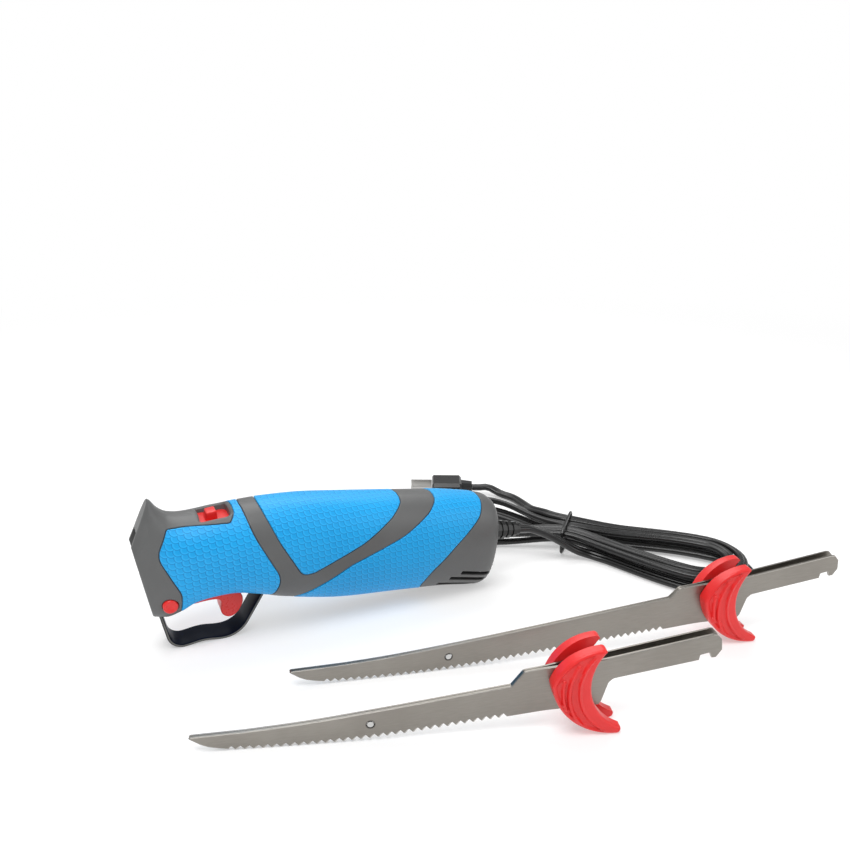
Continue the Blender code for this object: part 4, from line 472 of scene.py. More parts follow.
def arcs(corners, steps=8):
    """An outline from (x, z, radius) corners, each round one as an arc."""
    points = []
    for i, (x, z, radius) in enumerate(corners):
        here = Vector((x, z))
        before = Vector(corners[i - 1][:2]) - here
        after = Vector(corners[(i + 1) % len(corners)][:2]) - here
        half = before.angle(after) / 2
        reach = min(radius / math.tan(half) if radius else 0.0, before.length * 0.49, after.length * 0.49)
        if reach <= 0:
            points.append((x, z))
            continue
        r = reach * math.tan(half)
        middle = here + (before.normalized() + after.normalized()).normalized() * (r / math.sin(half))
        start = here + before.normalized() * reach - middle
        sweep = start.angle_signed(here + after.normalized() * reach - middle)
        for k in range(steps + 1):
            c, s = math.cos(-sweep * k / steps), math.sin(-sweep * k / steps)
            points.append((middle.x + start.x * c - start.y * s, middle.y + start.x * s + start.y * c))
    return points


def oblong(half_length, half_height, radius, steps=8):
    """A rectangle about the origin with round corners."""
    ways = (-1, -1), (1, -1), (1, 1), (-1, 1)
    return arcs([(u * half_length, t * half_height, radius) for u, t in ways], steps)


def dense(outline, spacing, closed=True):
    """The outline with further points, so that no stretch is longer than the spacing."""
    out = []
    ends = outline[1:] + (outline[:1] if closed else [])
    for (a, b), (c, d) in zip(outline, ends):
        count = max(1, math.ceil(math.hypot(c - a, d - b) / spacing))
        out += [(a + (c - a) * k / count, b + (d - b) * k / count) for k in range(count)]
    return out if closed else out + [outline[-1]]


def inside(outline, points):
    """Which points lie inside a closed outline."""
    x, y = points[:, 0], points[:, 1]
    odd = np.zeros(len(points), bool)
    for (a, b), (c, d) in zip(outline, outline[1:] + outline[:1]):
        if b != d:
            odd ^= ((b > y) != (d > y)) & (x < (c - a) * (y - b) / (d - b) + a)
    return odd


def distance(outline, points, closed=True):
    """How far points lie from an outline."""
    least = np.full(len(points), 9.0)
    for a, b in zip(outline, outline[1:] + (outline[:1] if closed else [])):
        a, b = np.array(a), np.array(b)
        way = b - a
        share = np.clip(((points - a) @ way) / max(way @ way, 1e-18), 0, 1)
        least = np.minimum(least, np.linalg.norm(points - a - share[:, None] * way, axis=1))
    return least


def signed(outline, points):
    """Distance from a closed outline, below zero inside it."""
    return np.where(inside(outline, points), -1, 1) * distance(outline, points)


def offset(outline, reach):
    """The outline moved outwards."""
    area = sum(a[0] * b[1] - b[0] * a[1] for a, b in zip(outline, outline[1:] + outline[:1]))
    sign = 1 if area > 0 else -1
    moved = []
    for i, (x, z) in enumerate(outline):
        before = Vector((x, z)) - Vector(outline[i - 1])
        after = Vector(outline[(i + 1) % len(outline)]) - Vector((x, z))
        n1, n2 = Vector((before.y, -before.x)).normalized(), Vector((after.y, -after.x)).normalized()
        move = (n1 + n2) * (reach * sign / max(0.5, 1 + n1.dot(n2)))
        moved.append((x + move.x, z + move.y))
    return moved


def laid(outline, spacing=0.0009):
    """A side-view outline laid on the unrolled skin."""
    return [(x, float(skin.unroll(x, z))) for x, z in dense(outline, spacing)]


def triangulated(loops, loose, merge):
    """Triangles over closed loops and loose points: the corners, loops first, and three of them a face."""
    points, edges = [], []
    for loop in loops:
        start = len(points)
        points += loop
        edges += [(start + k, start + (k + 1) % len(loop)) for k in range(len(loop))]
    made = delaunay_2d_cdt([Vector(p) for p in points + loose], edges, [], 0, merge)
    return np.array([tuple(v) for v in made[0]]), np.array([list(f) for f in made[2] if len(f) == 3])


def meshed(border, rings, spacing, keep):
    """Triangles over the unrolled skin between a border and rings; keep says which middles stay."""
    low, high = np.min(border, axis=0), np.max(border, axis=0)
    grid = np.array([(x, y) for j, y in enumerate(np.arange(low[1], high[1], spacing * 0.866))
                     for x in np.arange(low[0] + (j % 2) * spacing / 2, high[0], spacing)])
    loops = [border, *rings]
    clear = np.min([distance(loop, grid) for loop in loops], axis=0)
    flat, faces = triangulated(loops, [tuple(p) for p in grid[clear > spacing * 0.55]], 1e-7)
    faces = faces[keep(flat[faces].mean(axis=1))]
    used = np.arange(len(flat)) < sum(len(loop) for loop in loops)
    used[faces] = True
    return flat[used], (np.cumsum(used) - 1)[faces]


def netted(bm, places, faces):
    """A net of triangles; returns its vertices."""
    verts = [bm.verts.new(p) for p in places]
    for f in faces:
        bm.faces.new([verts[i] for i in f])
    return verts


def found(points, flat, verts):
    """The vertices of a flat net that lie at certain points."""
    return [verts[int(np.abs(flat - p).sum(axis=1).argmin())] for p in points]


def raised(flat, depth, side):
    """Points of the handle for unrolled ones, each sunk by its depth."""
    places = []
    step = 0.0002
    for (x, w), d in zip(flat, depth):
        w = min(max(w, 0.0), skin.end(x))
        here = skin.at(x, w)
        if abs(d) > 1e-9:
            other = w + step if w + step < skin.end(x) else w - step
            ahead = x - step if x + step > handle_length else x + step
            round_way = (skin.at(x, other) - here) * (1 if other > w else -1)
            along_way = (skin.at(ahead, min(w, skin.end(ahead))) - here) * (1 if ahead > x else -1)
            out = along_way.cross(round_way).normalized()
            out = -out if out.y * here.y + out.z * here.z < 0 else out
            here = here - out * d
        places.append(Vector((here.x, side * here.y, here.z)))
    return places


facet_slope, facet_reach, facet_fade = 0.62, 0.0060, 0.0030
seam_width, seam_sunk = 0.0003, 0.00013
crease = ((0.0020, -0.0060), (0.0025, 0.0010), (0.0049, 0.0071), (0.0068, 0.0125), (0.0075, 0.0190),
          (0.0076, 0.0245), (0.0069, 0.0310))


def facet(flat):
    """The flat planed on either side of the nose, from the fin's point to below the blade slot."""
    heights = np.array([skin.at(x, w).z for x, w in flat])
    behind = np.interp(heights, [z for x, z in crease], [x for x, z in crease], left=-1.0) - flat[:, 0]
    near_seam = np.interp(flat[:, 1], (0.0, facet_fade), (0.0, 1.0))
    return np.clip(behind, 0, facet_reach) * facet_slope * near_seam


def seam_depth(flat):
    """The shallow V where the two halves meet."""
    ends = np.array([skin.end(x) for x, w in flat])
    near = np.minimum(flat[:, 1], ends - flat[:, 1])
    return np.interp(near, (0, seam_width), (seam_sunk, 0.0))


above, under_margin = 0.0341, 0.0012
under_front, under_rear = ([(x, along_line(bottom_line, x) + under_margin, 0.0) for x in np.linspace(*span)]
                           for span in ((0.0300, 0.0640, 12), (0.0900, heel_x - 0.0430, 20)))
panels = {
    "front": arcs([
        (0.0160, 0.0169, 0.0015), (0.0116, 0.0030, 0.0100), (0.0248, -0.0168, 0.0100), (0.0262, -0.0300, 0.0),
        *under_front, (0.0735, -0.0238, 0.0080), (0.0757, -0.0095, 0.0130),
        (0.0592, 0.0150, 0.0600), (0.0535, 0.0280, 0.0), (0.0530, above, 0.0), (0.0508, above, 0.0),
        (0.0503, 0.0240, 0.0030), (0.0478, 0.0204, 0.0030)]),
    "middle": arcs([
        (0.0625, above, 0.0), (0.0636, 0.0275, 0.0), (0.0729, 0.0114, 0.0600), (0.0870, -0.0080, 0.0080),
        (0.0930, -0.0070, 0.0120), (0.1209, 0.0092, 0.0600), (0.1368, 0.0215, 0.0300), (0.1440, 0.0280, 0.0),
        (0.1462, above, 0.0)]),
    "rear": arcs([
        (0.0850, -0.0262, 0.0020), (0.1145, -0.0035, 0.0400), (0.1445, 0.0120, 0.0500), (0.1605, 0.0235, 0.0250),
        (0.1665, 0.0290, 0.0), (0.1690, above, 0.0), (heel_x - 0.0035, above, 0.0), (heel_x - 0.0042, 0.0270, 0.0),
        (heel_x - 0.0075, 0.0200, 0.0150), (heel_x - 0.0234, 0.0044, 0.0500), (heel_x - 0.0372, -0.0120, 0.0300),
        (heel_x - 0.0402, -0.0215, 0.0070), (heel_x - 0.0375, -0.0268, 0.0), *under_rear[::-1]]),
}
panels = {place: laid(outline) for place, outline in panels.items()}

button_at, button_radius, button_gap = (0.0197, -0.0241), 0.0039, 0.0003
slider_x, slider_slope = 0.0405, math.radians(8.5)
window_front, window_back, window_side, window_depth = 0.0076, 0.0080, 0.0094, 0.0046
window_corners, window_lean, over_seam = (0.0028, 0.0016), 0.34, 0.0090
screws = ((0.0105, -0.0120), (0.0610, 0.0196), (0.0900, -0.0170), (heel_x - 0.0010, 0.0150))
screw_hole, hole_depth, hole_spacing = 0.0032, 0.0034, 0.0008
vents = ((heel_x - 0.0158, -0.0145, 0.0216), (heel_x - 0.0222, -0.0183, 0.0258),
         (heel_x - 0.0286, -0.0229, 0.0284))
vent_slope, vent_half, vent_corner = math.radians(8.4), 0.0013, 0.0005
bay_ends, bay_half, bay_top, past_seam = (0.0292, 0.0658), 0.0068, -0.0172, 0.1200
slot_half, slot_low, slot_high, slot_back = 0.0047, 0.0055 - 0.0070, 0.0055 + 0.0070, 0.0300
fin_point, nose_break, nose_foot = (0.0069, 0.0294), (0.0, 0.0050), (0.0119, -0.0316)
round_off, heel_round, sleeve_bore, half_gap = 0.0009, 0.0016, 0.0054, 0.00006
rounding = (0.25, 0.5, 0.75, 1.0)
bore_edge, bore_depth, shell_spacing = 0.0004, 0.0080, 0.0017
dished = ((0.0, 0.0013), (0.0004, 0.0007), (0.0009, 0.0003), (0.0016, 0.00005), (0.0022, 0.0))
rim = ((0.0, 0.00042), (0.00012, 0.00016), (0.00035, 0.00004), (0.0006, 0.0))
groove = ((-0.0006, 0.0009), (0.00020, 0.0009), (0.00030, 0.00030), (0.00042, 0.00010), (0.00065, 0.0))


def circle(x, z, radius, steps=28):
    return [(x + radius * math.cos(2 * math.pi * k / steps), z + radius * math.sin(2 * math.pi * k / steps))
            for k in range(steps)]


def vent_outline(x, z, length):
    """A slit that runs back and down from its front end, round at the back."""
    c, s = math.cos(vent_slope), math.sin(vent_slope)
    along, up = Vector((c, -s)), Vector((s, c))
    corners = [(0, -vent_half, vent_corner), (length, -vent_half, vent_half), (length, vent_half, vent_half),
               (0, vent_half, vent_corner)]
    return [(x + along.x * u + up.x * v, z + along.y * u + up.y * v) for u, v in arcs(corners, 5)]


def nose_rows():
    """Side-view points of the nose's cut edge, from the fin's point to the foot, some at the slot's ends."""
    line = dense([fin_point, nose_break], 0.0012, False)[:-1] + dense([nose_break, nose_foot], 0.0012, False)[:-1]
    line += arcs([(*nose_foot, 0), (0.0130, -0.0350, 0.0034), (0.0166, -0.0350, 0)], 6)
    for mark in (slot_high, nose_break[1], slot_low):
        k = min(range(1, len(line) - 1), key=lambda i: abs(line[i][1] - mark))
        a, b = (fin_point, nose_break) if mark >= nose_break[1] else (nose_break, nose_foot)
        line[k] = (a[0] + (b[0] - a[0]) * (a[1] - mark) / (a[1] - b[1]), mark)
    return line


def shell_border(nose):
    """The unrolled outline of a half: down the nose, back under it, up the heel and forward along the top.

    With it come the parts of it that are the nose and the heel.
    """
    border = []
    for k, (x, z) in enumerate(nose):
        a, b = nose[max(k - 1, 0)], nose[min(k + 1, len(nose) - 1)]
        way = Vector((b[0] - a[0], b[1] - a[1])).normalized()
        back = round_off * min(1.0, k / 3)
        inner = (x - way.y * back, z + way.x * back)
        w = 0.0 if k == 0 else float(skin.unroll(*inner))
        border.append((inner[0], min(w, skin.end(inner[0]))))
    border[-1] = (border[-1][0], float(skin.end(border[-1][0])))
    nose_count, heel = len(border), handle_length - heel_round
    border += [(x, float(skin.end(x))) for x in np.linspace(border[-1][0], heel, 170)[1:]]
    heel_start = len(border) - 1
    border += [(heel, skin.end(heel) * (1 - k / 44)) for k in range(1, 45)]
    heel_stop = len(border)
    border += [(x, 0.0) for x in np.linspace(heel, border[0][0], 180)[1:-1]]
    return border, border[:nose_count], border[heel_start:heel_stop]


def nose_face(bm, begin, nose, side):
    """The nose's round edge, its narrow front face and the walls of the blade slot in it."""
    edge = []
    for x, z in nose:
        w = min(max(float(skin.unroll(x, z)), 0.0), skin.end(x))
        y = max(skin.at(x, w).y - float(facet(np.array([(x, w)]))[0]), half_gap)
        edge.append(Vector((x, side * y, z)))
    columns = [begin]
    for share in rounding:
        column = []
        for k, (start, corner) in enumerate(zip(begin, edge)):
            inward = min(round_off * min(1.0, k / 3), abs(corner.y) * 0.7)
            end = corner - Vector((0, side * inward, 0))
            a, b = start.co.lerp(corner, share), corner.lerp(end, share)
            column.append(bm.verts.new(a.lerp(b, share)))
        columns.append(column)
    inner = [bm.verts.new(Vector((c.x, side * min(slot_half, abs(v.co.y) * 0.8), c.z)))
             for c, v in zip(edge, columns[-1])]
    centre = [bm.verts.new(Vector((c.x, side * half_gap, c.z))) for c in edge]
    columns.append(inner)
    for one, two in zip(columns, columns[1:]):
        bridged(bm, one, two, False)
    slot = [k for k, (x, z) in enumerate(nose) if slot_low - 1e-6 <= z <= slot_high + 1e-6]
    first, last = slot[0], slot[-1]
    bridged(bm, inner[:first + 1], centre[:first + 1], False)
    bridged(bm, inner[last:], centre[last:], False)
    deep = [bm.verts.new(Vector((slot_back, v.co.y, v.co.z))) for v in inner[first:last + 1]]
    bridged(bm, inner[first:last + 1], deep, False)
    for k, d in ((first, deep[0]), (last, deep[-1])):
        far = bm.verts.new(Vector((slot_back, side * half_gap, d.co.z)))
        bm.faces.new((inner[k], centre[k], far, d))
    end = [bm.verts.new(Vector((slot_back, side * half_gap, v.co.z))) for v in deep]
    bridged(bm, deep, end, False)


def heel_face(bm, begin, side):
    """The heel's round edge, its end face and the bore for the cord's sleeve."""
    hub = Vector((handle_length, 0, relief_z))
    last = len(begin) - 1
    corners, bore = [], []
    for k in range(last + 1):
        p = skin.at(handle_length, skin.end(handle_length) * (1 - k / last))
        corners.append(Vector((p.x, side * max(p.y, half_gap), p.z)))
        a = -math.pi / 2 + math.pi * k / last
        bore.append(Vector((handle_length, side * max(sleeve_bore * math.cos(a), half_gap),
                            relief_z + sleeve_bore * math.sin(a))))
    rows = [begin]
    for share in rounding:
        row = []
        for start, corner in zip(begin, corners):
            end = corner.lerp(hub, heel_round / (corner - hub).length)
            row.append(bm.verts.new(start.co.lerp(corner, share).lerp(corner.lerp(end, share), share)))
        rows.append(row)
    rounded = [v.co.copy() for v in rows[-1]]
    for share in (0.35, 0.7, 0.93):
        rows.append([bm.verts.new(a.lerp(b, share)) for a, b in zip(rounded, bore)])
    for inwards in (bore_edge, bore_depth):
        rows.append([bm.verts.new(b + Vector((-inwards, 0, 0))) for b in bore])
    for one, two in zip(rows, rows[1:]):
        bridged(bm, one, two, False)


def lining(bm, outline, sunk, way, side):
    """The wall that goes inwards from an opening's edge, left open where the edge crosses the top seam."""
    ring = [p for p in outline if -1e-9 < p[1] < skin.end(p[0])]
    whole = len(ring) == len(outline)
    if not whole:
        first = next((k for k in range(len(ring)) if math.dist(ring[k], ring[k - 1]) > 0.003), 0)
        ring = ring[first:] + ring[:first]
        ring = [(ring[0][0], 0.0)] + ring + [(ring[-1][0], 0.0)]
    one = [bm.verts.new(p) for p in raised(ring, [sunk] * len(ring), side)]
    two = [bm.verts.new(v.co + way) for v in one]
    bridged(bm, one, two, whole)


def bay_lining(bm, edge, side):
    """The trigger bay: its side wall, its roof and both ends."""
    wall = [bm.verts.new(raised([p], [0], side)[0]) for p in edge]
    roof = [bm.verts.new(Vector((v.co.x, v.co.y, bay_top))) for v in wall]
    middle = [bm.verts.new(Vector((v.co.x, side * half_gap, bay_top))) for v in wall]
    bridged(bm, wall, roof, False)
    bridged(bm, roof, middle, False)
    for k in (0, -1):
        x = wall[k].co.x
        low = bm.verts.new(Vector((x, side * half_gap, skin.at(x, skin.end(x)).z)))
        bm.faces.new((wall[k], roof[k], middle[k], low))


def make_shell(name, side, finish):
    """One half: its skin, the faces at the nose and the heel, and the linings of its openings."""
    nose = nose_rows()
    border, nose_part, heel_part = shell_border(nose)
    cuts = [laid(circle(*button_at, button_radius + button_gap), hole_spacing)]
    cuts += [laid(vent_outline(*v), hole_spacing) for v in vents]
    if side > 0:
        cuts += [laid(circle(x, z, screw_hole), hole_spacing) for x, z in screws]
    front, back = slider_x - window_front, slider_x + window_back
    window = [(front, -over_seam, 0), (back, -over_seam, 0),
              (back, window_side, window_corners[0]), (front, window_side, window_corners[1])]
    window = dense(arcs(window), hole_spacing)
    bay_edge = [(x, float(skin.across(x, bay_half))) for x in np.linspace(*bay_ends, 40)]
    bay = bay_edge + [(bay_ends[1], past_seam), (bay_ends[0], past_seam)]
    rims = [(cut, rim) for cut in cuts] + [(window, dished)]
    rings = [offset(cut, reach) for cut, steps in rims for reach, depth in steps]
    rings += [offset(panel, reach) for panel in panels.values() for reach, depth in groove]
    rings += [bay, laid([*crease, (-0.02, crease[-1][1]), (-0.02, crease[0][1])], 0.0006)]

    def keep(middles):
        good = inside(border, middles)
        for cut in cuts + [window, bay]:
            good &= ~inside(cut, middles)
        for panel in panels.values():
            good &= ~inside(offset(panel, groove[0][0]), middles)
        return good

    flat, faces = meshed(border, rings, shell_spacing, keep)
    depth = seam_depth(flat)
    for outline, steps in [(panel, groove) for panel in panels.values()] + rims:
        depth = np.maximum(depth, np.interp(signed(outline, flat), *zip(*steps)))
    depth += facet(flat)
    bm = bmesh.new()
    verts = netted(bm, raised(flat, depth, side), faces)
    nose_face(bm, found(nose_part, flat, verts), nose, side)
    heel_face(bm, found(heel_part, flat, verts), side)
    down = Matrix.Rotation(-slider_slope, 4, "Y").to_3x3() @ Vector((0, -side * window_lean, -1))
    lining(bm, window, dished[0][1], down * window_depth, side)
    for cut in cuts:
        lining(bm, cut, rim[0][1], Vector((0, -side, 0)) * hole_depth, side)
    bay_lining(bm, bay_edge, side)
    bmesh.ops.remove_doubles(bm, verts=bm.verts, dist=0.00001)
    bmesh.ops.delete(bm, geom=[v for v in bm.verts if not v.link_faces], context="VERTS")
    return shown(name, "housing", finished(bm, name), finish, handle_at, 21)


grey = plain("grey_shell", (0.105, 0.107, 0.107), 0.42, 900.0, 0.0002, 0.05)
make_shell("left_shell", -1, grey)
make_shell("right_shell", 1, grey)

# Soft panels
# Blue thermoplastic rubber moulded into the recesses of the shells, three to a side, standing a
# hair above them with a rounded edge. Shallow fish scales of 4.8 mm cover them for grip.
scale_pitch, scale_row, scale_reach, scale_slant = 0.0048, 0.0024, 1.16, (0.82, 0.57)
shoulder = ((-0.0009, -0.00014), (-0.00045, -0.00010), (-0.00025, 0.00003), (-0.00014, 0.0003), (-0.0001, 0.0009))
land_span, land_half, grip_spacing = (0.0240, 0.0800), 0.0090, 0.0016


def scales(start):
    """Rows of overlapping round scales: their rims painted dark as shade in their grooves, and a painted highlight
    as a paler crescent inside each.
    """
    across, along, _ = start.make("ShaderNodeUVMap", {"uv_map": "skin"}).split()
    c, s = scale_slant
    u = (across * c + along * s) / scale_row
    v = (along * c - across * s) / scale_row
    half = scale_pitch / scale_row / 2
    first = (v - scale_reach).math("CEIL")
    reach = rise = None
    for k in (2, 1, 0):
        row = first + float(k)
        odd = row.math("MODULO", 2.0).math("ABSOLUTE")
        side = (u - odd * half).math("WRAP", half, -half)
        down = v - row
        away = (side * side + down * down).math("SQRT")
        slope = 0.55 + 0.45 * down
        covers = away.math("LESS_THAN", scale_reach)
        reach, rise = (away, slope) if reach is None else (covers * away + (1.0 - covers) * reach,
                                                           covers * slope + (1.0 - covers) * rise)
    # Painted shade: the rims, sunk as grooves in the bump, are coloured dark navy.
    edge = (scale_reach - reach).step(0.0, 0.14)
    # Painted highlight: a paler blue crescent just inside each rim.
    crescent = (scale_reach - reach).step(0.12, 0.26) * (1.0 - (scale_reach - reach).step(0.30, 0.60))
    slow = noise(start, 30.0)
    skin_colour = slow.step(0.3, 0.7).mix((0.0, 0.330, 0.740, 1), (0.004, 0.365, 0.790, 1))
    lit = crescent.mix(skin_colour, (0.016, 0.405, 0.840, 1))
    grain = noise(start, 1500.0, 2.0)
    return {
        "Base Color": edge.mix((0.0, 0.130, 0.430, 1), lit),
        "Roughness": 0.50 + (slow - 0.5) * 0.08 - edge * 0.05,
        "Specular IOR Level": 0.35,
        "Normal": start.make("ShaderNodeBump", Height=edge * 0.6 + rise * edge * 0.4 + grain * 0.08,
                             Strength=0.5, Distance=0.00014),
    }


def make_grip(place, name, side, finish):
    """One panel: its skin inside the outline, with a rounded shoulder and a wall down into the recess."""
    outline = panels[place]
    low, high = min(p[0] for p in outline), max(p[0] for p in outline)
    border = [(x, 0.0) for x in np.linspace(low - 0.002, high + 0.002, 140)]
    border += [(x, float(skin.end(x))) for x, w in border[::-1]]
    rings = [offset(outline, reach) for reach, depth in shoulder]
    foot = rings[-1]
    land = []
    if place == "front":
        land = [(x, float(skin.across(x, land_half))) for x in np.linspace(*land_span, 60)]
        land += [(land_span[1], past_seam), (land_span[0], past_seam)]
        rings.append(land)

    def keep(middles):
        good = inside(border, middles) & inside(foot, middles)
        return good & ~inside(land, middles) if land else good

    flat, faces = meshed(border, rings, grip_spacing, keep)
    bm = bmesh.new()
    uv = bm.loops.layers.uv.new("skin")
    depth = np.interp(signed(outline, flat), *zip(*shoulder))
    unrolled = dict(zip(netted(bm, raised(flat, depth, side), faces), flat))
    for face in bm.faces:
        for loop in face.loops:
            loop[uv].uv = unrolled[loop.vert]
    bmesh.ops.delete(bm, geom=[v for v in bm.verts if not v.link_faces], context="VERTS")
    return shown(name, "housing", finished(bm, name, side), finish, handle_at, 40)


blue = material("blue_grip", scales)
for place in panels:
    make_grip(place, f"{place}_grip_left", -1, blue)
    make_grip(place, f"{place}_grip_right", 1, blue)

# Red controls
# Glossy red ABS: the slide lock on its rails, the finger lever with its hook on a steel pin, and the two
# round blade-release buttons, turned with a dished face and held in by a flange.
red = plain("red_control", (0.74, 0.022, 0.020), 0.30, 900.0, 0.00006, 0.05)


def rounded_plate(name, outline, low, high, edge, steps=4):
    """A side-view outline made into a slab from low to high across, its edges rounded."""
    turns = [math.pi / 2 * k / steps for k in range(steps + 1)]
    levels = [(edge * (1 - math.sin(a)), low + edge * (1 - math.cos(a))) for a in turns]
    levels += [(inset, high + low - y) for inset, y in reversed(levels)]
    bm = bmesh.new()
    rings = [[bm.verts.new((x, y, z)) for x, z in offset(outline, -inset)] for inset, y in levels]
    for one, two in zip(rings, rings[1:]):
        bridged(bm, one, two)
    bm.faces.new(rings[0])
    bm.faces.new(rings[-1])
    bm.normal_update()
    bmesh.ops.triangulate(bm, faces=[f for f in bm.faces if len(f.verts) > 4])
    return finished(bm, name)


def flowing(points, steps=5):
    """A smooth line through points."""
    ends = [points[0], *points, points[-1]]
    out = []
    for a, b, c, d in zip(ends, ends[1:], ends[2:], ends[3:]):
        for k in range(steps):
            s = k / steps
            out.append(tuple(0.5 * (2 * q + (r - p) * s + (2 * p - 5 * q + 4 * r - t) * s * s
                                    + (3 * q - p - 3 * r + t) * s ** 3) for p, q, r, t in zip(a, b, c, d)))
    return out + [points[-1]]


def joined(name, *meshes):
    """Several meshes in one."""
    bm = bmesh.new()
    for mesh in meshes:
        bm.from_mesh(mesh)
    made = bpy.data.meshes.new(name)
    bm.to_mesh(made)
    bm.free()
    return made


hook = flowing([(0.0304, -0.0300), (0.0346, -0.0292), (0.0382, -0.0284), (0.0419, -0.0278), (0.0450, -0.0276),
                (0.0470, -0.0280), (0.0480, -0.0294), (0.0481, -0.0314), (0.0482, -0.0339), (0.0492, -0.0366),
                (0.0512, -0.0381), (0.0534, -0.0385), (0.0557, -0.0377), (0.0577, -0.0357), (0.0591, -0.0330),
                (0.0599, -0.0300), (0.0596, -0.0270), (0.0583, -0.0247), (0.0574, -0.0225)])
lever = hook + [(0.0572, -0.0210), (0.0310, -0.0190), (0.0302, -0.0240)]
lever_half, base_half, thumb_half = 0.0062, 0.0080, 0.0036
shown("trigger", "lever", rounded_plate("trigger", lever, -lever_half, lever_half, 0.0010), red,
      handle_at)

slider_z = 0.023016
slider_at = handle_at @ Matrix.Translation((slider_x, 0, slider_z)) @ Matrix.Rotation(-slider_slope, 4, "Y")
base = [(-0.0108, -0.0061), (0.0108, -0.0061), (0.0108, -0.0046), (-0.0108, -0.0046)]
base = rounded_plate("lock_base", base, -base_half, base_half, 0.0002)
thumb = arcs([(-0.0044, -0.0050, 0), (0.0022, -0.0050, 0), (0.0016, 0.0000, 0.0008), (-0.0036, -0.0004, 0.0008)], 4)
thumb = rounded_plate("lock_thumb", thumb, -thumb_half, thumb_half, 0.0007)
shown("lock_slider", "slider", joined("lock_slider", base, thumb), red, slider_at)


def lathed(name, profile, side, steps=48):
    """A body turned round the y axis, from (y, radius) pairs."""
    bm = bmesh.new()
    turns = [2 * math.pi * k / steps for k in range(steps)]
    rows = [[bm.verts.new((r * math.cos(a), side * y, r * math.sin(a))) for a in turns] for y, r in profile]
    for one, two in zip(rows, rows[1:]):
        bridged(bm, one, two)
    bm.faces.new(rows[0])
    bm.faces.new(rows[-1])
    return finished(bm, name)


button_face = float(skin.at(button_at[0], float(skin.unroll(*button_at))).y)
cap = ((-0.0045, 0.0049), (-0.0033, 0.0049), (-0.0033, button_radius), (0.0002, button_radius), (0.0007, 0.0037),
       (0.00105, 0.0033), (0.0012, 0.0027), (0.0009, 0.0022), (0.00075, 0.0012), (0.0007, 0.0004))
for side, name in ((-1, "left"), (1, "right")):
    place = handle_at @ Matrix.Translation((button_at[0], side * button_face, button_at[1]))
    name = f"release_button_{name}"
    shown(name, name.replace("release_", ""), lathed(name, cap, side), red, place)

# Trigger guard
# One strip of glossy navy plastic, 15 mm wide, pushed into the nose and the trigger bay. Its two
# long edges carry a painted highlight, a paler line, and its foot rises slightly between two resting places.
strip_half, strip_thick, strip_corner, strip_wave = 0.0077, 0.0009, 0.0007, 0.0011
# The last pair: how far from the strip's middle the painted edge highlight begins and where it is full.
wave_from, wave_length, highlight_band = 0.0290, 0.0220, (0.00755, 0.00772)
line = arcs([(0.0152, -0.0305, 0), (0.0234, -0.05374, 0.0080), (0.05935, -0.04868, 0.0150),
             (0.0715, -0.0215, 0)], 16)
line = [(x, z + strip_wave * math.sin(math.pi * min(1, max(0, (x - wave_from) / wave_length))) ** 2)
        for x, z in dense(line, 0.0012, False)]
strip_profile = oblong(strip_half, strip_thick, strip_corner, 4)


def strip_look(start):
    _, across, _ = start.make("ShaderNodeAttribute", {"attribute_name": "own"}, 1).split()
    # Painted highlight: both long edges are painted pale grey, for light caught on their rounded corners.
    edge_highlight = across.math("ABSOLUTE").step(*highlight_band)
    slow = noise(start, 60.0)
    return {
        "Base Color": edge_highlight.mix((0.002, 0.006, 0.017, 1), (0.15, 0.15, 0.14, 1)),
        "Roughness": 0.30 + (slow - 0.5) * 0.12,
        "Specular IOR Level": 0.04,
        "Normal": start.make("ShaderNodeBump", Height=noise(start, 900.0, 2.0), Strength=0.2, Distance=0.00003),
    }


strip = swept("trigger_guard", [Vector((x, 0, z)) for x, z in line], strip_profile)
shown("trigger_guard", "housing", strip, material("guard_strip", strip_look), handle_at, 40)

# Blades
# Two pairs of stamped stainless blades, 32 and 46 teeth at 4 mm. Each tooth's back flank is ground
# to a bright facet on the outer face, painted lighter partly for that finish and partly as a painted
# highlight; the other chamfers carry a weaker painted highlight, and painted shade rings the stud's hole.
# The pair is riveted loosely near the point and splays at the heel.
pitch_u, thick, chamfer = 0.0040, 0.0013, 0.0003
stud_u, stud_t, stud_r, stud_gap = 0.0610, 0.0080, 0.0015, 0.0004
stud_travel, slot_reach = 0.0055, 0.0018
belly_end, belly_radius = 0.0864, 0.588
jog_from, jog_length, jog_steps, lap, splay = 0.0150, 0.0250, 12, 0.00015, 0.0020
tooth = ((0.00025, 0.0), (-0.00025, 0.0), (-0.00170, 0.0019), (-0.00196, 0.0019))
flank = ((-0.00040, 0.0004), (-0.00045, 0.0004), (-0.00185, 0.0022), (-0.00270, 0.0020))
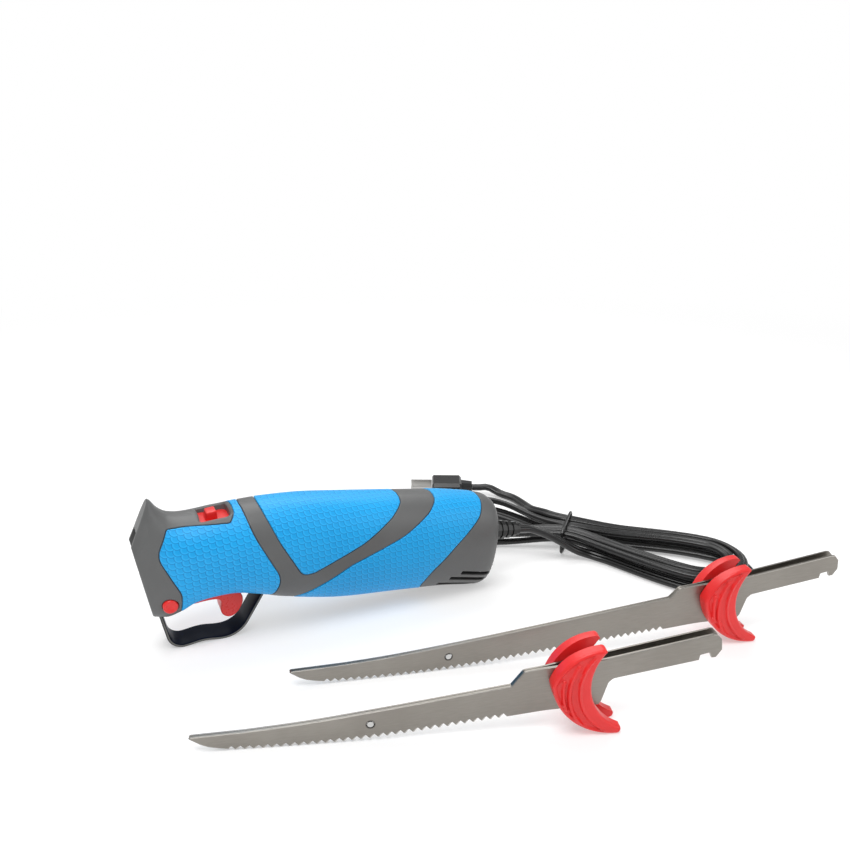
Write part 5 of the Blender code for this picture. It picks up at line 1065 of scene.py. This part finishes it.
# The share of the painted highlight on the chamfers away from the tooth flanks.
chamfer_highlight = 0.35
sets = {
    "short": (32, Matrix((
        (0.951307, 0.289032, -0.107121, -0.149086), (-0.287217, 0.957319, 0.032342, -0.027468),
        (0.111897, 0.0, 0.993720, -0.005936), (0, 0, 0, 1)))),
    "long": (46, Matrix((
        (0.976707, 0.199368, -0.079348, -0.094986), (-0.198713, 0.979925, 0.016143, 0.003732),
        (0.080973, 0.0, 0.996716, -0.005043), (0, 0, 0, 1)))),
}
heel_marks = {
    "short": [(0.0030, 0.0160, 0), (0.0094, 0.0226, 0.0030), (0.0480, 0.0238, 0)],
    "long": [(0.0036, 0.0184, 0), (0.0094, 0.0232, 0.0030), (0.0480, 0.0240, 0)],
}
shank_marks = [
    (0.0981, 0.0277, 0.0020), (0.1000, 0.0273, 0), (0.1022, 0.0243, 0.0010), (0.1022, 0.0190, 0.0010),
    (0.0992, 0.0154, 0.0006), (0.0970, 0.0154, 0.0003), (0.0962, 0.0183, 0.0006), (0.0917, 0.0178, 0.0006),
    (0.0911, 0.0152, 0.0003), (0.0502, 0.0127, 0.0030), (0.0479, 0.0110, 0.0020), (0.0440, 0.0016, 0.0010),
    (0.0425, 0.0, 0),
]


def belly(u):
    """How far the edge rises towards the point."""
    return max(0.0, belly_end - u) ** 2 / (2 * belly_radius)


def blade_lines(kind, teeth):
    """The outline of a blade, and its teeth and point again as the grinding leaves them outside."""
    last = (teeth - 1) * pitch_u
    edge, ground = [], []
    for k in range(teeth - 1, -1, -1):
        u, t = k * pitch_u, belly(k * pitch_u)
        edge += [(u + along, t + rise) for along, rise in tooth]
        ground += [(u + along, t + rise) for along, rise in flank]
    first = belly(0)
    point = [(-0.0034, first + 0.0008), (-0.0078, first + 0.0020), (-0.0119, 0.0098), (-0.0153, 0.0118),
             (-0.0186, 0.0146)]
    edge += point
    ground += [(u + 0.0001, t + 0.0005) for u, t in point]
    reach, foot = last + heel_marks[kind][0][0], heel_marks[kind][0][1]
    keys = ((-0.0190, 0.0160), (0.0, 0.0148), (0.0350, 0.0139), (0.0640, 0.0143), (reach, foot))
    rest = [(-0.0197, 0.0157), (-0.0190, 0.0162)]
    rest += [(reach * s, along_line(keys, reach * s)) for s in np.linspace(0.04, 0.985, 30)]
    marks = [(last + u, t, r) for u, t, r in heel_marks[kind] + shank_marks] + [(last + 0.0060, 0.0, 0)]
    rest += arcs([(reach - 0.01, foot, 0)] + marks + [(last, -0.02, 0)], 4)[1:-1]
    return edge + rest, ground


def face_with_hole(bm, outline, hole, y):
    """A flat face with a hole; returns the vertices of both lines."""
    flat, faces = triangulated([outline, hole], [], 1e-9)
    middles = flat[faces].mean(axis=1)
    verts = netted(bm, [(u, y, t) for u, t in flat], faces[inside(outline, middles) & ~inside(hole, middles)])
    return found(outline, flat, verts), found(hole, flat, verts)


def jog(u, last):
    """How far the inner face stands out from the pair's middle plane."""
    return lap + (splay - lap) * ease((u - last - jog_from) / jog_length)


def blade_look(start):
    u, y, t = start.make("ShaderNodeAttribute", {"attribute_name": "own"}, 1).split()
    # Painted shade: the face is darkened in a ring round the stud's hole, as if the hole were countersunk.
    ring = ((u - stud_u) * (u - stud_u) + (t - stud_t) * (t - stud_t)).math("SQRT")
    clear = ring.step(stud_r + 0.0002, stud_r + 0.0011)
    # The 'ground' attribute: 1 on the ground tooth flanks, lighter partly for their finish and partly as a painted
    # highlight; less on the other chamfers, where the lighter colour is a painted highlight only.
    ground = start.make("ShaderNodeAttribute", {"attribute_name": "ground"}, 2)
    brush = start.make("ShaderNodeCombineXYZ", X=u * 0.12, Y=y, Z=t)
    fine = noise(start, 1400.0, 3.0, brush)
    slow = noise(start, 35.0, 2.0)
    base = (fine * 0.5 + slow * 0.5).step(0.30, 0.70).mix((0.245, 0.228, 0.205, 1), (0.285, 0.268, 0.242, 1))
    return {
        "Base Color": ground.mix(clear.mix((0.06, 0.055, 0.05, 1), base), (0.52, 0.50, 0.47, 1)),
        "Metallic": 1.0,
        "Roughness": 0.34 + (fine - 0.5) * 0.16 - ground * 0.06,
        "Normal": start.make("ShaderNodeBump", Height=fine, Strength=0.12, Distance=0.00005),
    }


blade = material("blade_steel", blade_look)


def make_blade(kind, name, side, body):
    """One blade: both faces with the stud's hole or slot, the walls between them and the bend at the heel."""
    teeth, blade_at = sets[kind]
    last = (teeth - 1) * pitch_u
    outline, ground = blade_lines(kind, teeth)
    if side < 0:
        hole = circle(stud_u, stud_t, stud_r + stud_gap, 32)
    else:
        hole = [(stud_u + u, stud_t + t) for u, t in oblong(stud_travel + slot_reach, slot_reach, slot_reach)]
    bm = bmesh.new()
    low, low_hole = face_with_hole(bm, outline, hole, 0.0)
    ring = [bm.verts.new((u, thick - chamfer, t)) for u, t in outline]
    high, high_hole = face_with_hole(bm, ground + offset(outline, -chamfer)[len(ground):], hole, thick)
    # The 'ground' layer: how much of the lighter colour each chamfer face takes, on the tooth flanks for their
    # ground finish and as a painted highlight, elsewhere as a painted highlight only.
    mark = bm.faces.layers.float.new("ground")
    bridged(bm, low, ring)
    for k, face in enumerate(bridged(bm, ring, high)):
        on_flank = k < teeth * len(tooth) and k % len(tooth) in (0, len(tooth) - 1)
        face[mark] = 1.0 if on_flank else chamfer_highlight
    bridged(bm, low_hole, high_hole)
    for k in range(jog_steps + 1):
        bmesh.ops.bisect_plane(bm, geom=bm.verts[:] + bm.edges[:] + bm.faces[:], dist=1e-7,
                               plane_co=(last + jog_from + jog_length * k / jog_steps, 0, 0), plane_no=(1, 0, 0))
    for v in bm.verts:
        v.co.y = side * (v.co.y + jog(v.co.x, last))
    return shown(name, body, finished(bm, name), blade, blade_at, 12)


for kind in sets:
    make_blade(kind, f"{kind}_blade_left", -1, f"{kind}_set")
    make_blade(kind, f"{kind}_blade_right", 1, f"{kind}_far")

# Blade guards
# Red wings moulded on the outer faces of the blades: a crescent with a full round front edge and
# three raised ribs, the hollows between them sunk a little so that fingers keep their hold.
guard_red = plain("red_guard", (0.76, 0.020, 0.020), 0.36, 700.0, 0.00008, 0.05)
guard_edge, guard_face, guard_sink, rib_rise, guard_root = 0.0016, 0.0091, 0.0008, 0.0013, 0.0003
hollow_start, hollow_back, guard_spacing = (0.0013, 0.0021), 0.0006, 0.00055


def arc_line(a, b, c, steps):
    """Points on the arc through three points."""
    (ax, ay), (bx, by), (cx, cy) = a, b, c
    d = 2 * (ax * (by - cy) + bx * (cy - ay) + cx * (ay - by))
    ux = ((ax * ax + ay * ay) * (by - cy) + (bx * bx + by * by) * (cy - ay) + (cx * cx + cy * cy) * (ay - by)) / d
    uy = ((ax * ax + ay * ay) * (cx - bx) + (bx * bx + by * by) * (ax - cx) + (cx * cx + cy * cy) * (bx - ax)) / d
    r = math.hypot(ax - ux, ay - uy)
    begin, over, end = (math.atan2(y - uy, x - ux) for x, y in (a, b, c))
    sweep = (end - begin) % (2 * math.pi)
    if (over - begin) % (2 * math.pi) > sweep:
        sweep -= 2 * math.pi
    return [(ux + r * math.cos(begin + sweep * k / steps), uy + r * math.sin(begin + sweep * k / steps))
            for k in range(steps)]


wing = arc_line((0.0440, 0.0324), (0.0300, 0.0284), (0.0204, 0.0170), 24)
wing += arc_line((0.0204, 0.0170), (0.0275, -0.0020), (0.0485, -0.0134), 32)
wing += arc_line((0.0485, -0.0134), (0.0508, -0.0127), (0.0512, -0.0108), 8)
wing += arc_line((0.0512, -0.0108), (0.0386, 0.0152), (0.0468, 0.0308), 36)
wing += arc_line((0.0468, 0.0308), (0.0458, 0.0321), (0.0440, 0.0324), 5)
ribs = (
    ((0.0260, 0.0190), (0.0250, 0.0120), (0.0260, 0.0040), 0.0007),
    ((0.0333, 0.0256), (0.0278, 0.0114), (0.0342, -0.0074), 0.0009),
    ((0.0406, 0.0284), (0.0330, 0.0112), (0.0448, -0.0108), 0.0010),
)


def make_guard(kind, name, side, body):
    """One wing: its outer face with a round edge, ribs and hollows, and the wall down to the blade."""
    teeth, blade_at = sets[kind]
    last = (teeth - 1) * pitch_u
    outline = [(u + last, t) for u, t in wing]
    rings = [offset(outline, -guard_edge * s) for s in (0.06, 0.2, 0.42, 0.7, 1.0)]
    rings += [[(u + last + s * half, t) for s, way in ((-0.6, 1), (0.6, -1))
               for u, t in arc_line(a, b, c, 24)[::way]] for a, b, c, half in ribs]
    flat, faces = meshed(outline, rings, guard_spacing, lambda middles: inside(outline, middles))
    d = distance(outline, flat)
    height = guard_face - guard_edge * (1 - np.sqrt(np.clip(1 - (1 - np.clip(d / guard_edge, 0, 1)) ** 2, 0, 1)))
    third = [(u + last, t) for u, t in arc_line(*ribs[2][:3], 24)]
    behind = flat[:, 0] - np.interp(-flat[:, 1], [-t for u, t in third], [u for u, t in third])
    deep = np.interp(d, hollow_start, (0.0, 1.0)) * np.interp(behind, (0.0, hollow_back), (1.0, 0.0))
    relief = -guard_sink * deep
    for a, b, c, half in ribs:
        away = distance([(u + last, t) for u, t in arc_line(a, b, c, 16) + [c]], flat, False)
        bump = np.interp(away, (half * 0.6, half * 1.25), (1.0, 0.0))
        relief = np.maximum(relief, (rib_rise * bump * bump * (3 - 2 * bump) - guard_sink) * deep)
    bm = bmesh.new()
    verts = netted(bm, [(u, y, t) for (u, t), y in zip(flat, height + relief)], faces)
    root = [bm.verts.new((u, 0.0, t)) for u, t in outline]
    bridged(bm, verts[:len(outline)], root)
    bm.faces.new(root)
    bm.normal_update()
    bmesh.ops.triangulate(bm, faces=[f for f in bm.faces if len(f.verts) > 4])
    for v in bm.verts:
        v.co.y = side * max(v.co.y, jog(v.co.x, last) + thick + guard_root)
    return shown(name, body, finished(bm, name), guard_red, blade_at)


for kind in sets:
    make_guard(kind, f"{kind}_guard_left", -1, f"{kind}_set")
    make_guard(kind, f"{kind}_guard_right", 1, f"{kind}_far")

# Floor, light and view
# A white sweep that fades to plain white away from the pieces, one large soft lamp over the left
# shoulder of the camera, a weaker one at the right and one behind.


def sweep(start):
    x, y, _ = start.make("ShaderNodeTexCoord", output=3).split()
    away = (x * x + y * y).math("SQRT").step(0.45, 1.10)
    return {
        "Base Color": away.mix((0.62, 0.62, 0.62, 1), (0, 0, 0, 1)),
        "Emission Color": away.mix((0.40, 0.40, 0.40, 1), (1, 1, 1, 1)),
        "Emission Strength": 1.0,
        "Roughness": 0.7,
        "Specular IOR Level": 0.0,
    }


floor_mesh = bpy.data.meshes.new("floor")
floor_mesh.from_pydata([(-4, -4, 0), (4, -4, 0), (4, 4, 0), (-4, 4, 0)], [], [(0, 1, 2, 3)])
floor_mesh.materials.append(material("floor", sweep))
floor = bpy.data.objects.new("floor", floor_mesh)
bpy.context.scene.collection.objects.link(floor)
world = bpy.data.worlds.new("studio")
world.use_nodes = True
tree = world.node_tree
start = Value(tree)
glow = start.make("ShaderNodeBackground", Color=(1, 1, 1, 1), Strength=0.46)
white = start.make("ShaderNodeBackground", Color=(1, 1, 1, 1), Strength=1.0)
seen = start.make("ShaderNodeLightPath")
tree.links.new(start.make("ShaderNodeMixShader", i0=seen, i1=glow, i2=white).socket,
               tree.nodes["World Output"].inputs["Surface"])
bpy.context.scene.world = world
middle = Vector((0, 0, 0.03))
lamps = (("key", (-0.4, -0.25, 1.1), 0.6, 7.6), ("fill", (0.7, -0.6, 0.6), 0.7, 2.6),
         ("back", (0.1, 0.7, 1.0), 0.9, 6.4))
for name, place, size, power in lamps:
    lamp = bpy.data.lights.new(name, "AREA")
    lamp.size = size
    lamp.energy = power
    made = bpy.data.objects.new(name, lamp)
    made.location = place
    made.rotation_euler = (middle - Vector(place)).to_track_quat("-Z", "Y").to_euler()
    bpy.context.scene.collection.objects.link(made)
bpy.context.scene.view_settings.view_transform = "Standard"
